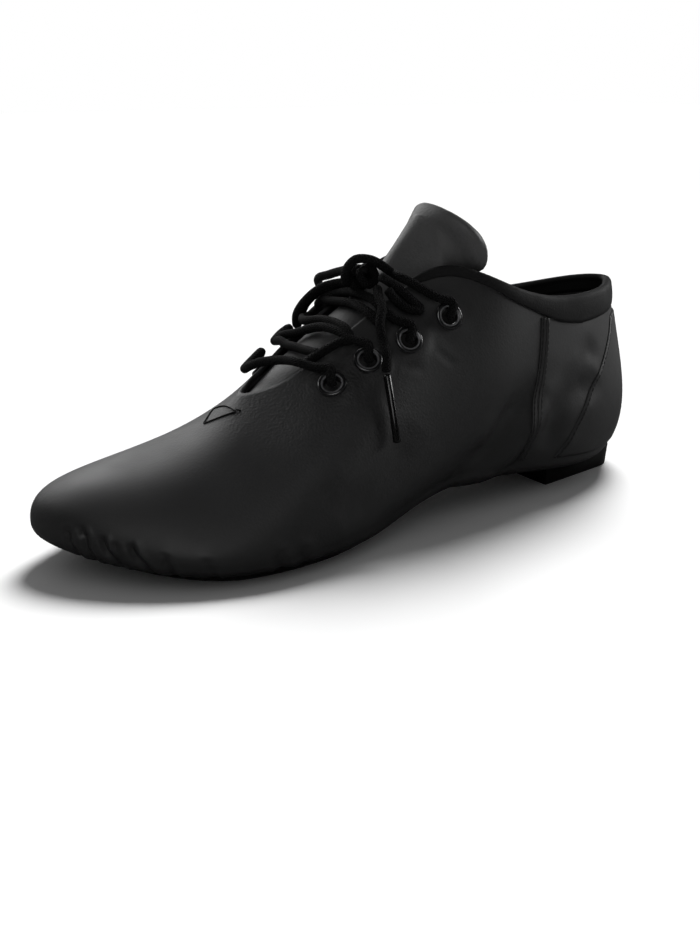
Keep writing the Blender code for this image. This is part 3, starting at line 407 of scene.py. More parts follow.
# Studio: the floor's shade in the shoe's gloss, the white world, the wide overhead light that gives the
# floor and the soft shadow, and the softboxes that give the gloss, each with its place (m), power (W),
# width and height (m).
FLOOR_IN_GLOSS = 0.10
WORLD_STRENGTH = 0.16
OVERHEAD_STRENGTH = 4.2
OVERHEAD_SPREAD = 26.0
OVERHEAD_FROM = (-0.62, -0.50, 1.0)
LIGHT_TARGET = (0.10, 0.0, 0.04)
SOFTBOXES = (
    ("Back softbox", (0.22, -0.95, 0.70), 17.0, 1.6, 0.7),
    ("Heel softbox", (-0.80, 0.16, 0.42), 7.5, 0.5, 0.4),
    ("Collar softbox", (0.75, 0.75, 0.75), 5.0, 0.6, 0.6),
)
FLOOR_SIZE = 8.0

# The camera, found from the photograph's own perspective, and the frame that it was found in
PICTURE_WIDTH = 700
PICTURE_HEIGHT = 933
CAMERA_TURN = math.radians(33.41)
CAMERA_RISE = math.radians(18.53)
CAMERA_DISTANCE = 0.43078
CAMERA_FOCAL_PIXELS = 1187.5
CAMERA_SENSOR = 36.0
CAMERA_TARGET = (0.10080, 0.0, 0.01664)
CAMERA_CLIP = 0.01


class ShoeSizes(bpy.types.PropertyGroup):
    """Sizes of the finish that a maker would change."""

    lace_radius: bpy.props.FloatProperty(
        name="Lace radius", description="Half the round lace's thickness", default=0.0016, unit="LENGTH")
    aglet_radius: bpy.props.FloatProperty(
        name="Aglet radius", description="Half the aglet's thickness", default=0.0013, unit="LENGTH")
    crease_depth: bpy.props.FloatProperty(
        name="Crease depth", description="How deep the creases lie, as a share of the worn shoe's",
        default=1.0)
    grain_size: bpy.props.FloatProperty(
        name="Grain size", description="Width of one pebble of the leather", default=0.0009, unit="LENGTH")
    stitch_length: bpy.props.FloatProperty(
        name="Stitch length", description="Length of one stitch", default=0.0021, unit="LENGTH")
    stitch_radius: bpy.props.FloatProperty(
        name="Stitch radius", description="Half the thread's thickness", default=0.00019, unit="LENGTH")


class ShoeColours(bpy.types.PropertyGroup):
    """Colours of the finish."""

    leather: bpy.props.FloatVectorProperty(
        name="Leather", description="Soft black leather", default=(0.0120, 0.0120, 0.0125), subtype="COLOR")
    # The tongue's grained leather is lighter than the rest; part of that lightness is painted sheen on its
    # top
    tongue: bpy.props.FloatVectorProperty(
        name="Tongue", description="The tongue's grained leather", default=(0.046, 0.046, 0.0465),
        subtype="COLOR")
    suede: bpy.props.FloatVectorProperty(
        name="Suede", description="The split sole's black suede", default=(0.010, 0.0098, 0.0096),
        subtype="COLOR")
    rubber: bpy.props.FloatVectorProperty(
        name="Rubber", description="The low heel's black rubber", default=(0.004, 0.004, 0.004),
        subtype="COLOR")
    lace: bpy.props.FloatVectorProperty(
        name="Lace", description="Black braided lace", default=(0.0045, 0.0045, 0.0047), subtype="COLOR")
    band: bpy.props.FloatVectorProperty(
        name="Collar band", description="Soft elastic round the collar", default=(0.006, 0.006, 0.0063),
        subtype="COLOR")
    enamel: bpy.props.FloatVectorProperty(
        name="Enamel", description="Black enamelled eyelets", default=(0.010, 0.010, 0.011),
        subtype="COLOR")
    # The bore colour is a painted glint on the eyelets' inner lip
    eyelet_glint: bpy.props.FloatVectorProperty(
        name="Bore", description="The eyelets' inner edge", default=(0.11, 0.11, 0.115), subtype="COLOR")
    lining: bpy.props.FloatVectorProperty(
        name="Lining", description="Dark textile lining", default=(0.030, 0.029, 0.028), subtype="COLOR")
    floor: bpy.props.FloatVectorProperty(
        name="Floor", description="Pale studio floor", default=(0.90, 0.90, 0.90), subtype="COLOR")


def sizes():
    return bpy.context.scene.jazz_shoe_sizes


def colours():
    return bpy.context.scene.jazz_shoe_colours


def spline_bends(knots, values, period):
    """The second derivatives of the smooth closed curve through values at knots."""
    count = len(knots)
    step = np.append(np.diff(knots), knots[0] + period - knots[-1])
    slope = (np.roll(values, -1, axis=0) - values) / step[:, None]
    system = np.zeros((count, count))
    right = np.zeros_like(values)
    for i in range(count):
        system[i, i - 1] = step[i - 1]
        system[i, i] = 2 * (step[i - 1] + step[i])
        system[i, (i + 1) % count] = step[i]
        right[i] = 6 * (slope[i] - slope[i - 1])
    return step, slope, np.linalg.solve(system, right)


def spline_values(knots, values, period, bends, at):
    """Values of that curve."""
    step, slope, bend = bends
    count = len(knots)
    at = np.mod(at - knots[0], period) + knots[0]
    i = np.clip(np.searchsorted(knots, at, side="right") - 1, 0, count - 1)
    past = (at - knots[i])[:, None]
    wide = step[i][:, None]
    low, high = bend[i], bend[(i + 1) % count]
    linear = slope[i] - wide * (2 * low + high) / 6
    return values[i] + past * linear + past**2 * low / 2 + past**3 * (high - low) / (6 * wide)


def turn_of(station):
    """The angle round the shoe: 0 at the back, pi at the toe. A negative station is on the medial side."""
    station = np.asarray(station, float)
    turn = np.arccos(1 - 2 * np.abs(station))
    return np.where(station < 0, 2 * np.pi - turn, turn)


def last_rows():
    """The last's sections round both sides: their angles, and values with half widths signed by side."""
    rows = np.array(SECTIONS)
    lateral = {name: rows[:, i] for i, name in enumerate(COLUMNS)}
    side = dict(lateral)
    side["edge"] = lateral["centre"] + lateral["lateral"]
    side["top"] = lateral["gap"]
    side["top_height"] = lateral["height"]
    other = dict(lateral)
    other["edge"] = lateral["centre"] - lateral["medial"]
    other["top"] = -lateral["gap"]
    other["top_height"] = lateral["height"] - lateral["dip"]
    angles = turn_of(rows[:, 0])
    knots = np.concatenate([angles, (2 * np.pi - angles[1:-1])[::-1]])
    near = np.column_stack([side[name] for name in LAST_NAMES])
    far = np.column_stack([other[name] for name in LAST_NAMES])
    return knots, np.concatenate([near, far[1:-1][::-1]])


LAST_NAMES = (
    "edge", "turn", "lift", "spring", "top_station", "top", "top_height", "out", "rise", "swell", "drop",
)
LAST_KNOTS, LAST_VALUES = last_rows()
LAST_BENDS = spline_bends(LAST_KNOTS, LAST_VALUES, 2 * np.pi)


def section_values(turn):
    """Every value of the last at these angles round the shoe."""
    at = np.atleast_1d(np.asarray(turn, float))
    found = spline_values(LAST_KNOTS, LAST_VALUES, 2 * np.pi, LAST_BENDS, at)
    return {name: found[:, i] for i, name in enumerate(LAST_NAMES)}


def edge_point(turn, values):
    """The outermost point of the foot's edge in plan, at these angles."""
    along = EDGE_INSET + (LENGTH - 2 * EDGE_INSET) * (1 - np.cos(turn)) / 2
    return np.column_stack([along - HEEL_CENTRE, values["edge"] * BALL_WIDTH])


def outward_of(turn):
    """The level direction away from the foot at these angles."""
    ahead = edge_point(turn + SMALL_TURN, section_values(turn + SMALL_TURN))
    behind = edge_point(turn - SMALL_TURN, section_values(turn - SMALL_TURN))
    along = ahead - behind
    along /= np.linalg.norm(along, axis=1)[:, None]
    return np.column_stack([-along[:, 1], along[:, 0], np.zeros(len(along))])


def underside(along):
    """The height of the upper's underside at these lengths: over heel, arch, pad and the toe's spring."""
    station = (np.asarray(along, float) + HEEL_CENTRE - EDGE_INSET) / (LENGTH - 2 * EDGE_INSET)
    values = section_values(turn_of(np.clip(station, 0, 1)).ravel())
    lift = np.maximum(values["lift"], 0.0) * (HEEL_TOP - PAD_TOP)
    level = PAD_TOP + lift + np.maximum(values["spring"], 0.0) * TOE_SPRING
    return level.reshape(station.shape)


def skin(turn, share):
    """Points of the upper's outer face. Share runs from 0 at the foot's edge to 1 at the top edge, from 0
    to -1 down the round turn into the sole, and from -1 to -2 in along the lasting margin."""
    turn, share = np.broadcast_arrays(np.asarray(turn, float), np.asarray(share, float))
    shape = turn.shape
    turn, share = turn.ravel(), share.ravel()
    values = section_values(turn)
    out = outward_of(turn)
    up = np.array([0.0, 0.0, 1.0])
    plan = edge_point(turn, values)
    radius = values["turn"] * EDGE_RADIUS
    base = np.column_stack([plan, underside(plan[:, 0]) + radius])
    top = np.column_stack([
        values["top_station"] * LENGTH - HEEL_CENTRE,
        values["top"] * BALL_WIDTH,
        values["top_height"] * INSTEP_HEIGHT,
    ])
    level, rise = values["out"] * BALL_WIDTH, values["rise"] * INSTEP_HEIGHT
    low = base + out * level[:, None] + up * rise[:, None]
    level, drop = values["swell"] * BALL_WIDTH, values["drop"] * INSTEP_HEIGHT
    high = top + out * level[:, None] - up * drop[:, None]
    t = np.clip(share, 0, 1)[:, None]
    face = (1 - t) ** 3 * base + 3 * (1 - t) ** 2 * t * low + 3 * (1 - t) * t**2 * high + t**3 * top
    angle = (1 + np.clip(share, -1, 0)) * np.pi / 2
    inset = radius + (LASTING_MARGIN - radius) * np.clip(-1 - share, 0, 1)
    inwards = np.where(share < -1, inset, radius * (1 - np.sin(angle)))
    under = base - out * inwards[:, None]
    under[:, 2] = underside(under[:, 0]) + np.where(share < -1, 0.0, radius * (1 - np.cos(angle)))
    return np.where(share[:, None] < 0, under, face).reshape(shape + (3,))


def skin_normal(turn, share):
    """The outer face's normal at the same points."""
    turn, share = np.broadcast_arrays(np.asarray(turn, float), np.asarray(share, float))
    low, high = np.clip(share - SMALL_TURN, -2, 1), np.clip(share + SMALL_TURN, -2, 1)
    around = skin(turn + SMALL_TURN, share) - skin(turn - SMALL_TURN, share)
    upward = skin(turn, high) - skin(turn, low)
    normal = np.cross(upward, around)
    return normal / np.linalg.norm(normal, axis=-1)[..., None]


def run_along(line, weight=1.0):
    """The distance from a line's start to each of its points, each step times its weight."""
    return np.concatenate([[0], np.cumsum(np.linalg.norm(np.diff(line, axis=0), axis=1) * weight)])


def share_below_top(turn, distance):
    """The share up a ray that lies this distance below its top edge, along the surface."""
    shares = np.linspace(1, RAY_LOWEST, RAY_SAMPLES)
    return float(np.interp(distance, run_along(skin(turn, shares)), shares))


def smooth_path(points, steps):
    """A smooth curve through these points, with so many steps between each two."""
    points = np.asarray(points, float)
    padded = np.concatenate([2 * points[:1] - points[1:2], points, 2 * points[-1:] - points[-2:-1]])
    found = []
    for i in range(len(points) - 1):
        before, one, two, after = padded[i:i + 4]
        t = np.linspace(0, 1, steps, endpoint=False)[:, None]
        found.append(0.5 * (
            2 * one + (two - before) * t + (2 * before - 5 * one + 4 * two - after) * t**2
            + (3 * one - before - 3 * two + after) * t**3
        ))
    return np.concatenate(found + [points[-1:]])


@functools.cache
def crease_line(way):
    """A crease's points on the skin."""
    stations, shares = np.array(way).T
    turned = smooth_path(np.column_stack([turn_of(stations), shares]), CREASE_STEPS)
    return skin(turned[:, 0], turned[:, 1])


def relief(points, normals):
    """How far the creased leather stands out from the plain skin at these points."""
    total = np.zeros(len(points))
    for depth, width, left, right, way in CREASES:
        line = crease_line(way)
        reach = CREASE_REACH * width
        inside = np.all((points > line.min(axis=0) - reach) & (points < line.max(axis=0) + reach), axis=1)
        near = np.nonzero(inside)[0]
        if not len(near):
            continue
        start, step = line[:-1], np.diff(line, axis=0)
        offset = points[near][:, None, :] - start[None, :, :]
        along = np.clip((offset * step).sum(axis=2) / (step**2).sum(axis=1), 0, 1)
        away = offset - along[:, :, None] * step
        distance = np.linalg.norm(away, axis=2)
        nearest = distance.argmin(axis=1)
        pick = (np.arange(len(near)), nearest)
        share = (nearest + along[pick]) / len(step)
        side = (np.cross(normals[near], step[nearest]) * away[pick]).sum(axis=1)
        across = distance[pick] / width * np.where(side < 0, -1.0, 1.0)
        fade = np.clip(np.sin(np.pi * np.clip(share, 0, 1)) * CREASE_FADE, 0, 1)
        trough = -np.exp(-across**2)
        lips = left * np.exp(-(across - CREASE_LIP) ** 2) + right * np.exp(-(across + CREASE_LIP) ** 2)
        total[near] += depth * fade * (trough + lips)
    return total * sizes().crease_depth


@functools.cache
def eyelet_places():
    """(name, centre, outward normal) of each eyelet."""
    found = []
    for number, (lateral, medial, inset) in enumerate(EYELET_ROWS, start=1):
        for side, station in (("lateral", lateral), ("medial", -medial)):
            turn = float(turn_of(station))
            share = share_below_top(turn, inset * BALL_WIDTH)
            centre = skin([turn], [share])[0]
            normal = skin_normal([turn], [share])[0]
            found.append((f"eyelet_{side}_{number}", centre, normal))
    return found


def worn(turn, share, above=0.0):
    """Points of the creased leather, a little above or below its face, pressed flat under each eyelet."""
    points = skin(turn, share)
    normals = skin_normal(turn, share)
    flat_points, flat_normals = points.reshape(-1, 3), normals.reshape(-1, 3)
    height = relief(flat_points, flat_normals) + np.broadcast_to(above, points.shape[:-1]).ravel()
    moved = flat_points + flat_normals * height[:, None]
    for _, centre, normal in eyelet_places():
        away = moved - centre
        level = away @ normal
        radius = np.linalg.norm(away - level[:, None] * normal, axis=1)
        near = (radius < EYELET_REACH) & (np.abs(level) < EYELET_REACH)
        press = np.clip((EYELET_REACH - radius) / (EYELET_REACH - EYELET_SEAT), 0, 1)
        press = np.where(near, press * press * (3 - 2 * press), 0.0)
        moved -= (level * press)[:, None] * normal
    return moved.reshape(points.shape)


def deselect_all():
    if bpy.context.object and bpy.context.object.mode != "OBJECT":
        bpy.ops.object.mode_set(mode="OBJECT")
    bpy.ops.object.select_all(action="DESELECT")


def select_only(obj):
    deselect_all()
    obj.select_set(True)
    bpy.context.view_layer.objects.active = obj


def apply_modifier(obj, kind, **settings):
    select_only(obj)
    modifier = obj.modifiers.new(kind.lower(), kind)
    for name, value in settings.items():
        setattr(modifier, name, value)
    bpy.ops.object.modifier_apply(modifier=modifier.name)


def grid_piece(name, points, closed=False):
    """A grid primitive with its points moved to these rows; closed joins the last row to the first."""
    if closed:
        points = np.concatenate([points, points[:1]])
    rows, columns = points.shape[:2]
    deselect_all()
    bpy.ops.mesh.primitive_grid_add(x_subdivisions=columns - 1, y_subdivisions=rows - 1, size=1.0)
    obj = bpy.context.object
    obj.name = obj.data.name = name
    obj.data.vertices.foreach_set("co", points.reshape(-1))
    obj.data.update()
    if closed:
        merge_doubles(obj)
    return obj


def edit_all(obj, operator, **settings):
    """Runs an edit-mode operator on the whole of a mesh."""
    select_only(obj)
    bpy.ops.object.mode_set(mode="EDIT")
    bpy.ops.mesh.select_all(action="SELECT")
    operator(**settings)
    bpy.ops.object.mode_set(mode="OBJECT")


def merge_doubles(obj):
    edit_all(obj, bpy.ops.mesh.remove_doubles, threshold=MERGE)


def outward_normals(obj):
    edit_all(obj, bpy.ops.mesh.normals_make_consistent, inside=False)


def finish_piece(obj, finish, nodes=(), smooth=True):
    """Gives a piece its material, smooth faces and body, and hides the solids that it stands for."""
    if not obj.data.materials:
        obj.data.materials.append(material(finish))
    select_only(obj)
    if smooth:
        bpy.ops.object.shade_smooth()
    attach(obj, BODY)
    if nodes:
        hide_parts(*nodes)
    return obj


def tube_piece(name, line, radius, around=CORD_SIDES):
    """A round cord along a line, with a UV map in lace widths: u round it and v along it."""
    count = len(line)
    tangent = np.gradient(line, axis=0)
    tangent /= np.linalg.norm(tangent, axis=1)[:, None]
    side = np.cross(tangent[0], (0.0, 0.0, 1.0))
    side /= np.linalg.norm(side)
    run = run_along(line)
    angles = np.linspace(0, 2 * np.pi, around, endpoint=False)
    rings = np.empty((count, around, 3))
    for i in range(count):
        side = side - (side @ tangent[i]) * tangent[i]
        side /= np.linalg.norm(side)
        other = np.cross(tangent[i], side)
        circle = np.cos(angles)[:, None] * side + np.sin(angles)[:, None] * other
        rings[i] = line[i] + circle * radius
    bm = bmesh.new()
    uv = bm.loops.layers.uv.new("UVMap")
    verts = [[bm.verts.new(p) for p in ring] for ring in rings]
    girth = 2 * np.pi * radius
    for i in range(count - 1):
        for j in range(around):
            k = (j + 1) % around
            face = bm.faces.new((verts[i][j], verts[i][k], verts[i + 1][k], verts[i + 1][j]))
            for loop, (u, v) in zip(face.loops, ((j, i), (j + 1, i), (j + 1, i + 1), (j, i + 1))):
                loop[uv].uv = (u / around, run[v] / girth)
    for ring, middle in (
        (verts[0], line[0] - tangent[0] * radius * CORD_END_RISE),
        (verts[-1], line[-1] + tangent[-1] * radius * CORD_END_RISE),
    ):
        inner = [bm.verts.new(v.co.lerp(Vector(middle), CORD_END_SHARE)) for v in ring]
        for j in range(around):
            k = (j + 1) % around
            bm.faces.new((ring[k], ring[j], inner[j], inner[k]))
        bm.faces.new(inner[::-1])
    bmesh.ops.recalc_face_normals(bm, faces=bm.faces)
    mesh = bpy.data.meshes.new(name)
    bm.to_mesh(mesh)
    bm.free()
    obj = bpy.data.objects.new(name, mesh)
    bpy.context.scene.collection.objects.link(obj)
    return obj


def joined(name, pieces):
    """These objects as one."""
    deselect_all()
    for piece in pieces:
        piece.select_set(True)
    bpy.context.view_layer.objects.active = pieces[0]
    if len(pieces) > 1:
        bpy.ops.object.join()
    pieces[0].name = pieces[0].data.name = name
    return pieces[0]


def place(route):
    """A route's points in metres."""
    return np.array([
        (along * LENGTH - HEEL_CENTRE, out * BALL_WIDTH, up * INSTEP_HEIGHT) for along, out, up in route
    ])


def new_material(name, colour, roughness, specular):
    """A new material, its node tree and its Principled shader."""
    made = bpy.data.materials.new(name)
    made.use_nodes = True
    shader = made.node_tree.nodes["Principled BSDF"]
    shader.inputs["Base Color"].default_value = (*colour, 1.0)
    shader.inputs["Roughness"].default_value = roughness
    shader.inputs["Specular IOR Level"].default_value = specular
    return made, made.node_tree, shader


def node(tree, kind, **settings):
    made = tree.nodes.new(kind)
    for name, value in settings.items():
        setattr(made, name, value)
    return made


def maths(tree, operation, one, two=0.0, clamp=False):
    """A Math node on two sockets or numbers."""
    made = node(tree, "ShaderNodeMath", operation=operation, use_clamp=clamp)
    for socket, value in zip(made.inputs, (one, two)):
        if isinstance(value, (int, float)):
            socket.default_value = value
        else:
            tree.links.new(value, socket)
    return made.outputs[0]


def mapped(tree, value, low, high, start=0.0, end=1.0):
    """A Map Range node's result: from low to high as the value goes from start to end."""
    made = node(tree, "ShaderNodeMapRange")
    for name, number in (("From Min", start), ("From Max", end), ("To Min", low), ("To Max", high)):
        made.inputs[name].default_value = number
    tree.links.new(value, made.inputs["Value"])
    return made.outputs["Result"]


def new_group(name, inputs, outputs):
    """An empty node group with these sockets. Inputs are name, kind and default."""
    tree = bpy.data.node_groups.new(name, "ShaderNodeTree")
    for label, kind, default in inputs:
        socket = tree.interface.new_socket(label, in_out="INPUT", socket_type=kind)
        if default is not None:
            socket.default_value = default
    for label, kind in outputs:
        tree.interface.new_socket(label, in_out="OUTPUT", socket_type=kind)
    return tree, tree.nodes.new("NodeGroupInput"), tree.nodes.new("NodeGroupOutput")


def leather_grain_group():
    """Fine pebbles that come and go, and the soft cloudiness of worn leather."""
    if "Leather grain" in bpy.data.node_groups:
        return bpy.data.node_groups["Leather grain"]
    tree, given, made = new_group(
        "Leather grain",
        [("Vector", "NodeSocketVector", None), ("Pebble scale", "NodeSocketFloat", 1100.0)],
        [("Height", "NodeSocketFloat"), ("Clouds", "NodeSocketFloat")],
    )
    pebble = node(tree, "ShaderNodeTexVoronoi", feature="SMOOTH_F1")
    pebble.inputs["Smoothness"].default_value = 0.35
    fine = node(tree, "ShaderNodeTexNoise")
    fine.inputs["Detail"].default_value = 4.0
    clouds = node(tree, "ShaderNodeTexNoise")
    clouds.inputs["Scale"].default_value = 38.0
    clouds.inputs["Detail"].default_value = 3.0
    tree.links.new(given.outputs["Vector"], pebble.inputs["Vector"])
    tree.links.new(given.outputs["Vector"], fine.inputs["Vector"])
    tree.links.new(given.outputs["Vector"], clouds.inputs["Vector"])
    tree.links.new(given.outputs["Pebble scale"], pebble.inputs["Scale"])
    tree.links.new(maths(tree, "MULTIPLY", given.outputs["Pebble scale"], 1.7), fine.inputs["Scale"])
    strength = maths(tree, "MULTIPLY", maths(tree, "SUBTRACT", clouds.outputs["Fac"], 0.25), 1.6, clamp=True)
    mixed = maths(tree, "ADD", pebble.outputs["Distance"], maths(tree, "MULTIPLY", fine.outputs["Fac"], 0.8))
    tree.links.new(maths(tree, "MULTIPLY", mixed, strength), made.inputs["Height"])
    tree.links.new(clouds.outputs["Fac"], made.inputs["Clouds"])
    return tree


def braid_group():
    """The braid of a round lace: two sets of strands wound in opposite ways."""
    if "Braid" in bpy.data.node_groups:
        return bpy.data.node_groups["Braid"]
    tree, given, made = new_group(
        "Braid",
        [("Vector", "NodeSocketVector", None), ("Strands", "NodeSocketFloat", 8.0)],
        [("Height", "NodeSocketFloat")],
    )
    parts = node(tree, "ShaderNodeSeparateXYZ")
    tree.links.new(given.outputs["Vector"], parts.inputs[0])
    turns = maths(tree, "MULTIPLY", parts.outputs["X"], given.outputs["Strands"])
    run = maths(tree, "MULTIPLY", parts.outputs["Y"], given.outputs["Strands"])
    one = maths(tree, "SINE", maths(tree, "MULTIPLY", maths(tree, "ADD", turns, run), 2 * math.pi))
    two = maths(tree, "SINE", maths(tree, "MULTIPLY", maths(tree, "SUBTRACT", turns, run), 2 * math.pi))
    tree.links.new(maths(tree, "MAXIMUM", one, two), made.inputs["Height"])
    return tree


def nap_group():
    """Short fibres of suede, rubber or elastic."""
    if "Nap" in bpy.data.node_groups:
        return bpy.data.node_groups["Nap"]
    tree, given, made = new_group(
        "Nap",
        [("Vector", "NodeSocketVector", None), ("Scale", "NodeSocketFloat", 2500.0)],
        [("Height", "NodeSocketFloat"), ("Clouds", "NodeSocketFloat")],
    )
    fibre = node(tree, "ShaderNodeTexNoise")
    fibre.inputs["Detail"].default_value = 5.0
    clouds = node(tree, "ShaderNodeTexNoise")
    clouds.inputs["Scale"].default_value = 90.0
    tree.links.new(given.outputs["Vector"], fibre.inputs["Vector"])
    tree.links.new(given.outputs["Vector"], clouds.inputs["Vector"])
    tree.links.new(given.outputs["Scale"], fibre.inputs["Scale"])
    tree.links.new(fibre.outputs["Fac"], made.inputs["Height"])
    tree.links.new(clouds.outputs["Fac"], made.inputs["Clouds"])
    return tree


# Materials: colour, roughness, specular level, metallic, coat, the group that makes the surface, its scale
# (none: from the grain's size), the bump's distance and strength, and the roughness at the least and most
# of the group's clouds (none: the same all over).
COAT_ROUGHNESS = 0.15
CLOUD_RANGE = (0.3, 0.7)
MATERIALS = {
    "Soft leather": ("leather", 0.5, 0.3, 0.0, 0.0, leather_grain_group, None, 0.00020, 1.0, (0.48, 0.60)),
    # The tongue's lighter colour is grained leather and, in part, painted sheen
    "Tongue leather and painted sheen": ("tongue", 0.6, 0.35, 0.0, 0.0, leather_grain_group, None, 0.00016, 1.0, (0.50, 0.64)),
    "Lining": ("lining", 0.85, 0.3, 0.0, 0.0, nap_group, 1800.0, 0.00015, 1.0, (0.78, 0.92)),
    "Suede": ("suede", 0.95, 0.2, 0.0, 0.0, nap_group, 2200.0, 0.0002, 1.0, (0.88, 1.0)),
    "Heel rubber": ("rubber", 0.6, 0.12, 0.0, 0.0, nap_group, 3200.0, 0.00005, 1.0, (0.5, 0.7)),
    "Collar elastic": ("band", 0.8, 0.12, 0.0, 0.0, nap_group, 1500.0, 0.00012, 1.0, (0.62, 0.8)),
    "Braided lace": ("lace", 0.8, 0.08, 0.0, 0.0, braid_group, 8.0, 0.00022, 1.0, None),
    "Thread": ("lace", 0.7, 0.3, 0.0, 0.0, nap_group, 5000.0, 0.00005, 1.0, None),
    "Black enamel": ("enamel", 0.3, 0.5, 0.3, 0.4, nap_group, 900.0, 0.00002, 0.5, None),
    # The eyelets' inner lip: a light grey painted glint on the black enamel
    "Painted eyelet glint": ("eyelet_glint", 0.4, 0.6, 0.0, 0.0, nap_group, 900.0, 0.00002, 0.5, None),
    "Aglet": ("rubber", 0.22, 0.3, 0.0, 0.0, nap_group, 700.0, 0.00003, 0.5, None),
}


def material(name):
    """The material of that name, made from its row when it is first asked for."""
    if name in bpy.data.materials:
        return bpy.data.materials[name]
    colour, roughness, specular, metallic, coat, group, scale, distance, strength, clouds = MATERIALS[name]
    made, tree, shader = new_material(name, getattr(colours(), colour), roughness, specular)
    shader.inputs["Metallic"].default_value = metallic
    shader.inputs["Coat Weight"].default_value = coat
    shader.inputs["Coat Roughness"].default_value = COAT_ROUGHNESS
    where = node(tree, "ShaderNodeTexCoord")
    placed = node(tree, "ShaderNodeGroup", node_tree=group())
    placed.inputs[1].default_value = scale or 1 / sizes().grain_size
    tree.links.new(where.outputs["UV" if group is braid_group else "Object"], placed.inputs["Vector"])
    bump = node(tree, "ShaderNodeBump")
    bump.inputs["Distance"].default_value = distance
    bump.inputs["Strength"].default_value = strength
    tree.links.new(placed.outputs["Height"], bump.inputs["Height"])
    tree.links.new(bump.outputs["Normal"], shader.inputs["Normal"])
    if clouds:
        rough = mapped(tree, placed.outputs["Clouds"], *clouds, *CLOUD_RANGE)
        tree.links.new(rough, shader.inputs["Roughness"])
    if name == "Soft leather":
        away = node(tree, "ShaderNodeVectorMath", operation="DISTANCE")
        away.inputs[1].default_value = GRAIN_CENTRE
        tree.links.new(where.outputs["Object"], away.inputs[0])
        fade = mapped(tree, away.outputs["Value"], 1.0, GRAIN_ELSEWHERE, GRAIN_REACH, GRAIN_END)
        tree.links.new(fade, bump.inputs["Strength"])
    return made


def floor_material():
    """A white sweep, darker in the shoe's own gloss, where it would brighten the black sides."""
    made, tree, shader = new_material("Studio floor", colours().floor, 0.9, 0.1)
    path = node(tree, "ShaderNodeLightPath")
    seen = mapped(tree, path.outputs["Is Glossy Ray"], colours().floor[0], FLOOR_IN_GLOSS)
    tree.links.new(seen, shader.inputs["Base Color"])
    return made


def place_light(name, light, place):
    """Puts a light at a place, turned to the shoe, and keeps it out of the picture."""
    obj = bpy.data.objects.new(name, light)
    bpy.context.scene.collection.objects.link(obj)
    obj.visible_camera = False
    obj.location = place
    obj.rotation_euler = (Vector(LIGHT_TARGET) - Vector(place)).to_track_quat("-Z", "Y").to_euler()
    return obj


def overhead_light():
    """The wide light over the shoe, which lights the floor and gives no gloss."""
    light = bpy.data.lights.new("Overhead", "SUN")
    light.energy = OVERHEAD_STRENGTH
    light.angle = math.radians(OVERHEAD_SPREAD)
    obj = place_light("Overhead", light, Vector(LIGHT_TARGET) + Vector(OVERHEAD_FROM))
    obj.visible_glossy = False


def softbox(name, place, power, wide, tall):
    """A softbox that is seen in the shoe's gloss and leaves the floor alone."""
    light = bpy.data.lights.new(name, "AREA")
    light.shape = "RECTANGLE"
    light.size = wide
    light.size_y = tall
    light.energy = power
    obj = place_light(name, light, place)
    obj.visible_diffuse = False


class JAZZSHOE_OT_stage(bpy.types.Operator):
    """Adds the pale floor, the soft studio lights and the camera"""

    bl_idname = "jazz_shoe.stage"
    bl_label = "Stage"

    def execute(self, context):
        deselect_all()
        bpy.ops.mesh.primitive_plane_add(size=FLOOR_SIZE, location=(LIGHT_TARGET[0], 0.0, 0.0))
        floor = bpy.context.object
        floor.name = floor.data.name = "studio_floor"
        floor.data.materials.append(floor_material())
        world = bpy.data.worlds.new("Studio")
        context.scene.world = world
        world.use_nodes = True
        background = world.node_tree.nodes["Background"]
        background.inputs["Color"].default_value = (1.0, 1.0, 1.0, 1.0)
        path = node(world.node_tree, "ShaderNodeLightPath")
        strength = mapped(world.node_tree, path.outputs["Is Camera Ray"], WORLD_STRENGTH, 1.0)
        world.node_tree.links.new(strength, background.inputs["Strength"])
        world.cycles_visibility.glossy = False
        overhead_light()
        for box in SOFTBOXES:
            softbox(*box)
        self.camera(context)
        context.scene.view_settings.view_transform = "Standard"
        return {"FINISHED"}

    def camera(self, context):
        back = Vector((
            math.sin(CAMERA_TURN) * math.cos(CAMERA_RISE),
            math.cos(CAMERA_TURN) * math.cos(CAMERA_RISE),
            math.sin(CAMERA_RISE),
        ))
        right = Vector((-math.cos(CAMERA_TURN), math.sin(CAMERA_TURN), 0.0))
        up = back.cross(right)
        lens = bpy.data.cameras.new("Camera")
        lens.sensor_fit = "AUTO"
        lens.sensor_width = CAMERA_SENSOR
        lens.lens = CAMERA_FOCAL_PIXELS / max(PICTURE_WIDTH, PICTURE_HEIGHT) * CAMERA_SENSOR
        lens.clip_start = CAMERA_CLIP
        camera = bpy.data.objects.new("Camera", lens)
        context.scene.collection.objects.link(camera)
        turned = Matrix((right, up, back)).transposed().to_4x4()
        camera.matrix_world = Matrix.Translation(Vector(CAMERA_TARGET) + back * CAMERA_DISTANCE) @ turned
        context.scene.camera = camera


def ring_line(centre, axis, reach):
    """A round turn of lace about an axis, its ends tucked under each other."""
    axis = Vector(axis).normalized()
    across = axis.orthogonal().normalized()
    other = axis.cross(across)
    line = []
    for angle in np.linspace(0, 2 * math.pi * KNOT_TURNS, KNOT_STEPS):
        around = across * math.cos(angle) + other * math.sin(angle)
        line.append(Vector(centre) + around * reach + axis * (angle * KNOT_PITCH))
    return np.array(line)


